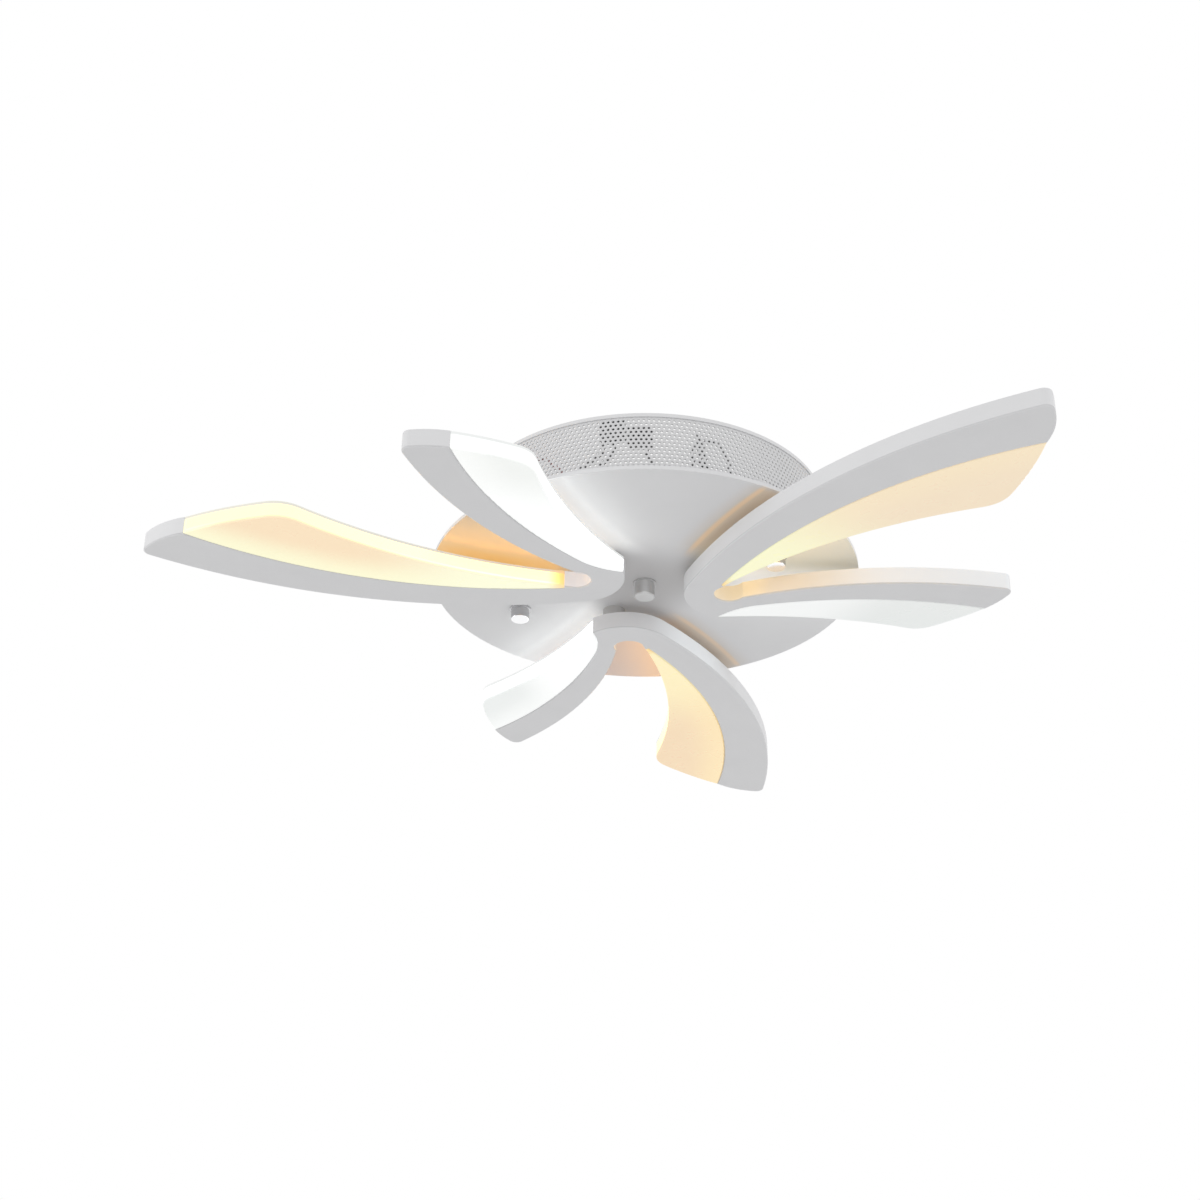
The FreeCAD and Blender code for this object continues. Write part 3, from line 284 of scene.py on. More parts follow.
def perforated_sheet(radius, low, high, settings):
    """Points and faces of a rolled sheet with staggered holes.

    The sheet is unrolled as distance around and height. Hole centres lie on rows; every second row is
    shifted by half a pitch, and the rows are sqrt(3)/2 of a pitch apart, so each hole has a six-sided
    cell of corner radius pitch/sqrt(3). Six quads join the cell's corners to the hole's corners. The
    corners at the sheet's top and foot are joined to plain borders. Rolling turns distance around into
    an angle, distance divided by radius. An inner skin, one sheet depth further in, closes the sheet.
    """
    columns = round(2 * math.pi * radius / settings.hole_pitch)
    pitch = 2 * math.pi * radius / columns
    corner_reach = pitch / math.sqrt(3)
    row_step = pitch * math.sqrt(3) / 2
    first_row = high - settings.plain_top - corner_reach
    rows = 1 + int((first_row - corner_reach - low - settings.plain_foot) / row_step)
    row, column = np.meshgrid(np.arange(rows), np.arange(columns), indexing="ij")
    middle_around = (column + 0.5 * (row % 2)) * pitch
    middle_height = first_row - row * row_step
    angles = np.radians(30 + 60 * np.arange(6))
    around = middle_around[..., None] + np.cos(angles) * corner_reach
    height = middle_height[..., None] + np.sin(angles) * corner_reach
    hole_around = middle_around[..., None] + np.cos(angles) * settings.hole_width / 2
    hole_height = middle_height[..., None] + np.sin(angles) * settings.hole_width / 2

    # Corners that neighbouring cells share have the same whole-number key.
    steps = 2 * columns
    step_around = np.rint(around / (pitch / 2)).astype(int) % steps
    step_down = np.rint((high - height) / (corner_reach / 2)).astype(int)
    keys, first, corner = np.unique(step_down * steps + step_around, return_index=True, return_inverse=True)
    corner = corner.reshape(around.shape)
    hole = len(keys) + np.arange(around.size).reshape(around.shape)
    top = len(keys) + around.size + np.arange(steps)
    foot = top + steps
    border = np.arange(steps) * pitch / 2
    flat_around = np.concatenate([around.ravel()[first], hole_around.ravel(), border, border])
    flat_height = np.concatenate([
        height.ravel()[first], hole_height.ravel(), np.full(steps, high), np.full(steps, low)])

    # Corners of the first and last rows, in order around the sheet
    upper = np.empty(steps, int)
    upper[step_around[0][:, :3]] = corner[0][:, :3]
    lower = np.empty(steps, int)
    lower[step_around[-1][:, 3:]] = corner[-1][:, 3:]

    def ahead(index):
        return np.roll(index, -1, axis=-1)

    skin = np.concatenate([
        np.stack([corner, ahead(corner), ahead(hole), hole], axis=-1).reshape(-1, 4),
        np.stack([upper, ahead(upper), ahead(top), top], axis=-1),
        np.stack([foot, ahead(foot), ahead(lower), lower], axis=-1),
    ])
    count = len(flat_around)
    edges = np.concatenate([
        np.stack([hole, ahead(hole)], axis=-1).reshape(-1, 2),
        np.stack([top, ahead(top)], axis=-1),
        np.stack([ahead(foot), foot], axis=-1),
    ])
    sides = np.stack([edges[:, 0], edges[:, 1], edges[:, 1] + count, edges[:, 0] + count], axis=-1)
    turn = flat_around / radius
    skins = [np.stack([reach * np.cos(turn), reach * np.sin(turn), flat_height], axis=-1)
             for reach in (radius, radius - settings.sheet_depth)]
    return np.concatenate(skins), np.concatenate([skin, skin[:, ::-1] + count, sides])


def turned_surface(reach, height, x, y, segments=72):
    """Points and faces of a closed profile turned about an upright axis.

    The profile is a loop of radii and heights, anticlockwise with the axis on its left. Point (i, j) is
    profile point j at the angle 2 pi i / segments, and quads join neighbours both ways.
    """
    turn = np.arange(segments)[:, None] * 2 * math.pi / segments
    points = np.stack([
        x + np.cos(turn) * reach, y + np.sin(turn) * reach, np.broadcast_to(height, (segments, len(height)))
    ], axis=-1)
    index = np.arange(segments * len(reach)).reshape(segments, len(reach))
    across = np.roll(index, -1, axis=0)
    quads = np.stack([index, across, np.roll(across, -1, axis=1), np.roll(index, -1, axis=1)], axis=-1)
    return points.reshape(-1, 3), quads.reshape(-1, 4)


def blind_nut_profile(radius, low, high, bore, bore_end, squareness=9.0, end_points=40, side_points=24):
    """Loop of a round nut with a closed, softly rounded lower end and a bore from above.

    The lower half of the outside is a quarter of a superellipse: radius times cos(t) and half the length
    times sin(t), both to the power 2 / squareness, from the middle of the end up to the widest place.
    The upper half and the bore are straight.
    """
    t = np.linspace(math.pi / 2, 0.0, end_points)
    bend = (high - low) / 2
    end_reach = radius * np.cos(t).clip(0) ** (2 / squareness)
    end_height = low + bend - bend * np.sin(t).clip(0) ** (2 / squareness)
    side = np.linspace(low + bend, high, side_points)[1:]
    reach = np.concatenate([end_reach, np.full_like(side, radius), [bore, bore, 0.0]])
    height = np.concatenate([end_height, side, [high, bore_end, bore_end]])
    return reach, height


# Materials


def tint(colour, factor=1.0):
    """Colour with its lightness scaled, as the four numbers that a colour socket takes."""
    return (*[min(1.0, part * factor) for part in colour], 1.0)


class Finish:
    """A material being made: a Principled shader, and nodes that feed its sockets."""

    def __init__(self, name):
        self.material = bpy.data.materials.new(name)
        self.material.use_nodes = True
        self.nodes = self.material.node_tree.nodes
        self.links = self.material.node_tree.links
        self.nodes.clear()
        self.shader = self.nodes.new("ShaderNodeBsdfPrincipled")
        output = self.nodes.new("ShaderNodeOutputMaterial")
        self.links.new(self.shader.outputs["BSDF"], output.inputs["Surface"])
        self.place = self.nodes.new("ShaderNodeTexCoord").outputs["Object"]

    def feed(self, socket, value):
        """Link an output to a socket, or write a plain value on it."""
        if isinstance(value, bpy.types.NodeSocket):
            self.links.new(value, socket)
        else:
            socket.default_value = value

    def set(self, **sockets):
        """Feed sockets of the shader; an underscore in a name stands for a space."""
        for name, value in sockets.items():
            self.feed(self.shader.inputs[name.replace("_", " ")], value)

    def maths(self, operation, first, second=0.0):
        """Result of an operation on one or two numbers."""
        node = self.nodes.new("ShaderNodeMath")
        node.operation = operation
        self.feed(node.inputs[0], first)
        self.feed(node.inputs[1], second)
        return node.outputs[0]

    def overlap(self, first, *others):
        """Product of masks, which is full only where all of them are."""
        for mask in others:
            first = self.maths("MULTIPLY", first, mask)
        return first

    def vector(self, operation, first, second):
        """Result of an operation on two vectors."""
        node = self.nodes.new("ShaderNodeVectorMath")
        node.operation = operation
        self.feed(node.inputs[0], first)
        self.feed(node.inputs[1], second)
        return node.outputs["Value"] if operation == "DISTANCE" else node.outputs["Vector"]

    def parts(self, vector):
        """The three numbers of a vector."""
        node = self.nodes.new("ShaderNodeSeparateXYZ")
        self.feed(node.inputs[0], vector)
        return node.outputs[0], node.outputs[1], node.outputs[2]

    def spread(self, value, low, high, to_low=0.0, to_high=1.0):
        """Smooth step of a value from one range to another."""
        node = self.nodes.new("ShaderNodeMapRange")
        node.interpolation_type = "SMOOTHSTEP"
        for name, number in (("Value", value), ("From Min", low), ("From Max", high),
                             ("To Min", to_low), ("To Max", to_high)):
            self.feed(node.inputs[name], number)
        return node.outputs["Result"]

    def noise(self, scale, detail=2.0, place=None):
        """Cloudy number from 0 to 1."""
        node = self.nodes.new("ShaderNodeTexNoise")
        self.feed(node.inputs["Vector"], place or self.place)
        node.inputs["Scale"].default_value = scale
        node.inputs["Detail"].default_value = detail
        return node.outputs["Fac"]

    def vary(self, clouds, low, high):
        """Number that follows a noise from one value to another."""
        return self.spread(clouds, *NOISE_RANGE, low, high)

    def ramp(self, clouds, dark, pale, places=NOISE_RANGE):
        """Colour that follows a noise from one colour to another."""
        node = self.nodes.new("ShaderNodeValToRGB")
        self.feed(node.inputs["Fac"], clouds)
        for element, position, colour in zip(node.color_ramp.elements, places, (dark, pale)):
            element.position = position
            element.color = colour
        return node.outputs["Color"]

    def mottle(self, clouds, colour, dark, pale=1.0, places=NOISE_RANGE):
        """Colour that follows a noise between two lightnesses."""
        return self.ramp(clouds, tint(colour, dark), tint(colour, pale), places)

    def blend(self, share, first, second):
        """Mix of two colours."""
        node = self.nodes.new("ShaderNodeMix")
        node.data_type = "RGBA"
        self.feed(node.inputs[0], share)
        self.feed(node.inputs[6], first)
        self.feed(node.inputs[7], second)
        return node.outputs[2]

    def bump(self, height, strength, distance):
        """Fine relief of the surface."""
        node = self.nodes.new("ShaderNodeBump")
        node.inputs["Strength"].default_value = strength
        node.inputs["Distance"].default_value = distance
        self.feed(node.inputs["Height"], height)
        self.set(Normal=node.outputs["Normal"])

    def stretched(self, scale):
        """Object coordinates stretched by three factors."""
        node = self.nodes.new("ShaderNodeMapping")
        self.feed(node.inputs["Vector"], self.place)
        node.inputs["Scale"].default_value = scale
        return node.outputs["Vector"]

    def from_axis(self):
        """Distance from the lamp's axis."""
        return self.vector("DISTANCE", self.vector("MULTIPLY", self.place, PLAN), (0.0, 0.0, 0.0))

    def lift(self, low):
        """Height above a level."""
        return self.maths("SUBTRACT", self.parts(self.place)[2], low)

    def head_plan(self, head):
        """Object coordinates turned into a head's own plan view, with the height left out."""
        node = self.nodes.new("ShaderNodeMapping")
        self.feed(node.inputs["Vector"], self.place)
        node.inputs["Rotation"].default_value = (0.0, 0.0, -math.radians(HEADS[head]))
        return self.vector("MULTIPLY", node.outputs["Vector"], PLAN)

    def beyond_arc(self, plan, arc):
        """Distance of a point outside an arc of the plan view; negative inside it."""
        along, across, radius = arc
        return self.maths("SUBTRACT", self.vector("DISTANCE", plan, (along, across, 0.0)), radius)

    def within_arc(self, plan, arc):
        """Distance of a point inside an arc of the plan view; negative outside it."""
        return self.maths("MULTIPLY", self.beyond_arc(plan, arc), -1.0)


def coat(finish, colour, lightness=1.0):
    """Powder coat: faint clouds in the colour and the gloss, and an orange-peel surface."""
    clouds = finish.noise(scale=22.0, detail=3.0)
    finish.set(Roughness=finish.vary(finish.noise(scale=70.0), 0.38, 0.48))
    finish.bump(finish.noise(scale=1100.0, detail=3.0), strength=0.1, distance=0.0003)
    return finish.mottle(clouds, colour, dark=0.975 * lightness, pale=lightness)


def powder_coat(name, colour):
    """Plain powder coat."""
    finish = Finish(name)
    finish.set(Base_Color=coat(finish, colour))
    return finish.material


def sheet_coat(name, radius, settings):
    """Powder coat of the wall's sheet: a tenth darker outside; holes and inside paler, painted light for
    the holes.
    """
    skin_depth = (0.0002, 0.00003)
    finish = Finish(name)
    depth = finish.maths("SUBTRACT", radius, finish.from_axis())
    outside = coat(finish, settings.paint, lightness=0.9)
    skin = finish.spread(depth, *skin_depth)
    finish.set(Base_Color=finish.blend(skin, tint(settings.hole_painted_light), outside))
    return finish.material


def strip_beside_arm(finish, head, colour, light):
    """Disc beside a warm arm's outer wall: a warm line, a shaded strip and a soft fringe under the arm.

    Each mask is a smooth step between two distances, along the arm or out from its outer wall.
    """
    root, tip = (0.036, 0.056), (0.128, 0.12)
    under_arm, near_arm, far_side = (-0.03, -0.02), (0.0055, 0.003), (0.015, 0.004)
    line_start, line_end, fringe_end = (0.0, 0.0018), (0.0052, 0.003), (0.004, 0.0)
    far_share = 0.3
    plan = finish.head_plan(head)
    along, _, _ = finish.parts(plan)
    beside = finish.beyond_arc(plan, WARM_OUTER)
    reach = finish.overlap(finish.spread(along, *root), finish.spread(along, *tip, 0.0, STRIP_SHARE[head]))
    strip = finish.overlap(
        finish.spread(beside, *under_arm),
        finish.spread(beside, *near_arm, far_share, 1.0),
        finish.spread(beside, *far_side),
        reach,
    )
    fringe = finish.overlap(finish.spread(beside, *fringe_end), reach)
    line = finish.overlap(finish.spread(beside, *line_start), finish.spread(beside, *line_end), reach)
    light = finish.blend(fringe, light, tint(FRINGE_LIGHT))
    # Painted shade: the strip's colour is a warm brown for the shade beside the arm's outer wall.
    return finish.blend(strip, colour, tint(STRIP_PAINTED_SHADE)), finish.blend(line, light, tint(LINE_LIGHT))


def glow_in_gap(finish, head, colour, light):
    """Disc between the arms of a head: its colour tinted with painted light, and light that fades from the
    warm petal.
    """
    root, cool_side = (0.035, 0.055), (-0.045, -0.02)
    rise, fade = 0.018, 0.012
    gap_painted_light, gap_light, start, end = DISC_GAP[head]
    plan = finish.head_plan(head)
    along, _, _ = finish.parts(plan)
    into_gap = finish.within_arc(plan, WARM_FREE)
    gap = finish.overlap(
        finish.spread(along, *root),
        finish.spread(finish.beyond_arc(plan, COOL_GAP), *cool_side),
        finish.spread(into_gap, start - rise, start),
    )
    lit = finish.overlap(gap, finish.spread(into_gap, end, start + fade))
    # Painted light: the gap's colour is tinted with the petals' light.
    return finish.blend(gap, colour, tint(gap_painted_light)), finish.blend(lit, light, tint(gap_light))


def glow_beside_cool(finish, head, light):
    """Light on the disc above a cool petal and a little past its free edge."""
    start, end, root = (-0.036, -0.02), (0.012, -0.004), (0.03, 0.05)
    plan = finish.head_plan(head)
    _, across, _ = finish.parts(plan)
    outward = finish.within_arc(plan, COOL_FREE)
    lit = finish.overlap(
        finish.spread(outward, *start), finish.spread(outward, *end), finish.spread(across, *root))
    return finish.blend(lit, light, tint(COOL_LIGHT))


def disc_coat(name, low, settings):
    """Powder coat of the disc, with the light that escapes above the petals and beside the warm arms."""
    shade_reach, shade_share, face_depth = (0.05, 0.014), 0.4, (0.0006, 0.0003)
    finish = Finish(name)
    paint = coat(finish, settings.paint)
    middle = finish.spread(finish.from_axis(), *shade_reach, 0.0, shade_share)
    colour = finish.blend(middle, paint, tint(CENTRE_SHADE))
    light = NO_LIGHT
    for head in HEADS:
        if head in STRIP_SHARE:
            colour, light = strip_beside_arm(finish, head, colour, light)
        colour, light = glow_in_gap(finish, head, colour, light)
        light = glow_beside_cool(finish, head, light)
    lower_face = finish.spread(finish.lift(low), *face_depth)
    finish.set(
        Base_Color=finish.blend(lower_face, paint, colour),
        Emission_Color=light,
        Emission_Strength=lower_face,
    )
    return finish.material


def channel_coat(name, head, colour):
    """Powder coat of a head's channel, with painted shade along its lower edges and light around its gap's
    end.
    """
    wall_foot, edge_foot, edge_top = (0.0004, 0.0012), (0.0001, 0.0003), (0.0012, 0.0006)
    gap_end_reach, wall_skin, fade, edge_shade_lightness = (0.024, 0.008), (0.0018, 0.0012), 0.04, 0.84
    finish = Finish(name)
    plan = finish.head_plan(head)
    along, _, _ = finish.parts(plan)
    lift = finish.lift(HEAD_LOW)
    wall = finish.spread(lift, *wall_foot)
    # Painted shade: the rounding of the lower edges is painted darker than the coat.
    edge = finish.overlap(finish.spread(lift, *edge_foot), finish.spread(lift, *edge_top))
    paint = finish.blend(edge, coat(finish, colour), tint(colour, edge_shade_lightness))
    from_gap_end = finish.vector("DISTANCE", plan, GAP_END)
    gap_end = finish.overlap(finish.spread(from_gap_end, *gap_end_reach), wall)
    light = finish.blend(gap_end, NO_LIGHT, tint(GAP_END_LIGHT[head]))
    if head in LIT_WALL:
        arc, start, end = LIT_WALL[head]
        from_wall = finish.maths("ABSOLUTE", finish.beyond_arc(plan, arc))
        lit = finish.overlap(
            finish.spread(from_wall, *wall_skin),
            wall,
            finish.spread(along, start, start + fade),
            finish.spread(along, end + fade, end),
        )
        light = finish.blend(lit, light, tint(WALL_LIGHT))
    finish.set(Base_Color=paint, Emission_Color=light, Emission_Strength=1.0)
    return finish.material


def glowing_acrylic(name, head, warm, settings):
    """Milky acrylic lit from inside: bright sides, a dimmer rim, and a face that fades from the seam."""
    side_foot, rim_foot, seam_edge = (0.0004, 0.003), (0.0084, 0.0092), (0.0008, 0.0016)
    seam_glow, drift = 0.001, 0.001
    finish = Finish(name)
    plan = finish.head_plan(head)
    along, across, _ = finish.parts(plan)
    lift = finish.lift(HEAD_LOW)
    clouds = finish.noise(scale=40.0)
    if warm:
        face_fade, tip_fade, root_fade = (0.165, 0.085), (0.08, 0.24), (0.047, 0.056)
        tip_share, root_share = 0.6, 0.2
        seam_arc, face_width, rim_light = WARM_SEAM, 0.028, WARM_RIM
        colour, side_light = settings.warm_acrylic, settings.warm_side
        middle, seam, root = WARM_FACE[head]
        near_root = finish.spread(along, *face_fade)
        full = settings.warm_strength * WARM_SHARE[head]
        strength = finish.overlap(
            finish.spread(along, *tip_fade, full, full * tip_share),
            finish.spread(along, *root_fade, root_share, 1.0),
        )
    else:
        tip_fade, root_fade = (0.1, 0.165), (0.026, 0.04)
        tip_strength, root_share = 0.43, 0.3
        seam_arc, face_width, rim_light = COOL_SEAM, 0.024, COOL_RIM
        colour, side_light = settings.cool_acrylic, settings.cool_side
        middle, seam, root = COOL_FACE[head]
        near_root = finish.spread(across, *COOL_FADE[head])
        strength = finish.overlap(
            finish.spread(across, *tip_fade, settings.cool_strength, tip_strength),
            finish.spread(across, *root_fade, root_share, 1.0),
        )
    inside = finish.within_arc(plan, seam_arc)
    side = finish.overlap(finish.spread(lift, *side_foot), finish.spread(inside, *seam_edge))
    rim = finish.spread(lift, *rim_foot)
    from_seam = finish.maths("ADD", inside, finish.vary(clouds, -drift, drift))
    face = finish.blend(finish.spread(from_seam, face_width, seam_glow), tint(middle), tint(seam))
    face = finish.blend(near_root, face, tint(root))
    glow = finish.blend(rim, finish.blend(side, face, tint(side_light)), tint(rim_light))
    paint = finish.mottle(clouds, colour, dark=0.98)
    if warm:
        # Painted light: the root end's colour is tinted orange for the warm glow there.
        end_edge, end_share = (0.057, 0.047), 0.6
        root_end = finish.spread(along, *end_edge, 0.0, end_share)
        paint = finish.blend(root_end, paint, tint(ROOT_END_PAINTED_GLOW))
        glow = finish.blend(root_end, glow, tint(ROOT_END_LIGHT))
    lit_side = finish.overlap(side, finish.maths("SUBTRACT", 1.0, rim))
    finish.set(
        Base_Color=paint,
        Roughness=finish.vary(finish.noise(scale=120.0), 0.26, 0.34),
        Emission_Color=glow,
        Emission_Strength=finish.spread(lit_side, 0.0, 1.0, 1.0, strength),
    )
    return finish.material


def turned_metal(name, side_colour, painted_end_colour, low, roughness):
    """Turned metal: fine rings around the side, and an end face painted in another brightness to stand for
    light and shade.
    """
    end_edge, ring_stretch = (0.0009, 0.0003), (0.02, 0.02, 1.0)
    finish = Finish(name)
    end = finish.spread(finish.lift(low), *end_edge)
    grain = finish.noise(scale=2600.0, place=finish.stretched(ring_stretch))
    side = finish.mottle(grain, side_colour, dark=0.9, places=METAL_RANGE)
    finish.set(
        Base_Color=finish.blend(end, side, tint(painted_end_colour)),
        Metallic=1.0,
        Roughness=finish.vary(grain, roughness * 0.8, roughness * 1.2),
    )
    finish.bump(grain, strength=0.05, distance=0.0001)
    return finish.material


def plated_metal(name, colour, roughness):
    """Plated metal: clouded colour and gloss, with a fine grain."""
    finish = Finish(name)
    clouds = finish.noise(scale=300.0, detail=4.0)
    finish.set(
        Base_Color=finish.mottle(clouds, colour, dark=0.88, pale=1.06, places=METAL_RANGE),
        Metallic=1.0,
        Roughness=finish.vary(clouds, roughness * 0.8, roughness * 1.25),
    )
    finish.bump(finish.noise(scale=3000.0), strength=0.05, distance=0.0001)
    return finish.material


def moulded(name, colour, roughness, grain=1800.0, depth=0.0002):
    """Moulded plastic, insulation or foam: slight clouds and a grain of chosen size."""
    finish = Finish(name)
    clouds = finish.noise(scale=60.0, detail=3.0)
    finish.set(
        Base_Color=finish.mottle(clouds, colour, dark=0.92, pale=1.04),
        Roughness=finish.vary(finish.noise(scale=200.0), roughness * 0.9, roughness * 1.1),
    )
    finish.bump(finish.noise(scale=grain, detail=3.0), strength=0.15, distance=depth)
    return finish.material


def led_board(name, low):
    """White solder mask, with yellow phosphor on the chips that stand below the board."""
    dark_mask, pale_mask, phosphor = (0.8, 0.8, 0.77), (0.88, 0.88, 0.85), (0.85, 0.66, 0.2)
    mask_roughness, chip_roughness, chip_top = 0.42, 0.25, (0.0011, 0.0008)
    finish = Finish(name)
    chip = finish.spread(finish.lift(low), *chip_top)
    mask = finish.ramp(finish.noise(scale=150.0, detail=3.0), tint(dark_mask), tint(pale_mask))
    finish.set(
        Base_Color=finish.blend(chip, mask, tint(phosphor)),
        Roughness=finish.spread(chip, 0.0, 1.0, mask_roughness, chip_roughness),
    )
    finish.bump(finish.noise(scale=900.0), strength=0.06, distance=0.0002)
    return finish.material


def dress(nodes, material):
    """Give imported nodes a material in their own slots."""
    for name in nodes:
        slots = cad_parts[name].material_slots
        if not len(slots):
            raise RuntimeError(f"{name} has no material slot")
        for slot in slots:
            slot.material = material


def place_piece(piece, body, node, material):
    """Let a new piece ride on a body, stand for a node and take a finish."""
    piece.data.materials.append(material)
    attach(piece, body)
    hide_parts(node)


# Operators


class LAMP_OT_canopy(bpy.types.Operator):
    """Make the perforated wall and coat the sheet pieces of the canopy"""

    bl_idname = "lamp.canopy"
    bl_label = "Canopy"

    def execute(self, context):
        settings = context.scene.lamp_canopy
        low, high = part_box("perforated_wall")
        radius = high.x
        points, quads = perforated_sheet(radius, low.z, high.z, settings)
        wall = new_piece("perforated_sheet", points, quads)
        wall_coat = sheet_coat("wall_coat", radius, settings)
        place_piece(wall, "lamp", "perforated_wall", wall_coat)
        dress(["wall_rim", "wall_foot"], powder_coat("trim_coat", settings.paint))
        dress(["canopy_plate"], disc_coat("disc_coat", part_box("canopy_plate")[0].z, settings))
        return {"FINISHED"}


class LAMP_OT_heads(bpy.types.Operator):
    """Coat the channels of the heads and light their petals"""

    bl_idname = "lamp.heads"
    bl_label = "Heads"

    def execute(self, context):
        paint = context.scene.lamp_canopy.paint
        glow = context.scene.lamp_glow
        plain_coat = powder_coat("head_coat", paint)
        # Painted shade: the spacers are a mid grey so that they read as shade between the heads and the
        # disc.
        shaded_spacer = moulded("spacer_painted_shade", (0.53, 0.52, 0.51), roughness=0.5)
        board_low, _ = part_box("head_left_warm_led_board")
        board = led_board("led_board_mask", board_low.z)
        for head in HEADS:
            dress([f"head_{head}_frame"], channel_coat(f"{head}_channel_coat", head, paint))
            dress([f"head_{head}_back_plate"], plain_coat)
            dress([f"head_{head}_spacers"], shaded_spacer)
            dress([f"head_{head}_warm_led_board", f"head_{head}_cool_led_board"], board)
            for petal, warm in (("warm", True), ("cool", False)):
                acrylic = glowing_acrylic(f"{head}_{petal}_acrylic", head, warm, glow)
                dress([f"head_{head}_{petal}_diffuser"], acrylic)
        return {"FINISHED"}


class LAMP_OT_nuts(bpy.types.Operator):
    """Turn the two cap nuts and the finial"""

    bl_idname = "lamp.nuts"
    bl_label = "Nuts and finial"

    def execute(self, context):
        metal = context.scene.lamp_metal
        nut_low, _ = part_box("cap_nut_left")
        finial_low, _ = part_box("finial")
        # Painted highlight on the cap nuts' ends; painted shade on the finial's end and washer.
        chrome = turned_metal("cap_nut_chrome", metal.chrome, metal.chrome_end_highlight, nut_low.z, roughness=0.16)
        nickel = turned_metal("finial_nickel", metal.nickel, metal.nickel_end_shade, finial_low.z, roughness=0.55)
        for node, body, slot, bore, end, material in (
            ("cap_nut_left", "left_cap_nut", "chrome", NUT_BORE, NUT_END, chrome),
            ("cap_nut_right", "right_cap_nut", "chrome", NUT_BORE, NUT_END, chrome),
            ("finial", "finial", "satin_nickel", FINIAL_BORE, FINIAL_END, nickel),
        ):
            low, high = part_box(node)
            middle = (low + high) / 2
            radius = (high.x - low.x) / 2
            reach, height = blind_nut_profile(radius, low.z, high.z, bore, low.z + end)
            points, quads = turned_surface(reach, height, middle.x, middle.y)
            piece = new_piece(f"turned_{node}", points, quads)
            merge_poles(piece)
            piece.data.shade_smooth()
            piece.data.set_sharp_from_angle(angle=SHARP_ANGLE)
            place_piece(piece, body, node, material)
        washer = plated_metal("washer_chrome", metal.chrome, roughness=0.3)
        dress(["stud_washer_left", "stud_washer_right"], washer)
        # Painted shade: the finial's washer takes the darker end colour.
        dress(["finial_washer"], plated_metal("finial_washer_nickel", metal.nickel_end_shade, roughness=0.5))
        return {"FINISHED"}


class LAMP_OT_hardware(bpy.types.Operator):
    """Finish the bracket, stems, screws and nuts"""

    bl_idname = "lamp.hardware"
    bl_label = "Hardware"

    def execute(self, context):
        metal = context.scene.lamp_metal
        zinc = plated_metal("zinc_plate", metal.zinc, roughness=0.36)
        dress(["ceiling_bracket", "bracket_studs", "stud_lock_nuts", "centre_screw", "stem_nuts",
               "arm_screws", "arm_nuts", "plate_screws"], zinc)
        dress([f"head_{head}_stem" for head in HEADS], zinc)
        brass = plated_metal("brass_screws", metal.brass, roughness=0.3)
        dress(["earth_screw", "terminal_screws"], brass)
        return {"FINISHED"}


class LAMP_OT_electrics(bpy.types.Operator):
    """Finish the drivers, the terminal block, the connectors and the leads"""

    bl_idname = "lamp.electrics"
    bl_label = "Electrics"

    def execute(self, context):
        case = moulded("white_moulding", (0.8, 0.8, 0.78), roughness=0.42)
        lid = moulded("lid_moulding", (0.84, 0.84, 0.82), roughness=0.38)
        connector = moulded("black_moulding", (0.03, 0.03, 0.034), roughness=0.4)
        black_lead = moulded("black_insulation", (0.022, 0.022, 0.025), roughness=0.46)
        red_lead = moulded("red_insulation", (0.55, 0.035, 0.03), roughness=0.46)
        foam = moulded("foam_tape", (0.68, 0.68, 0.66), roughness=0.9, grain=700.0, depth=0.0006)
        dress(["warm_driver_case", "cool_driver_case", "terminal_block"], case)
        dress(["warm_driver_lid", "cool_driver_lid"], lid)
        dress(["lead_connectors"], connector)
        dress(["lead_left_head", "lead_far_head", "lead_right_head", "earth_lead"], black_lead)
        dress(["red_lead"], red_lead)
        dress(["tape_pads"], foam)
        return {"FINISHED"}


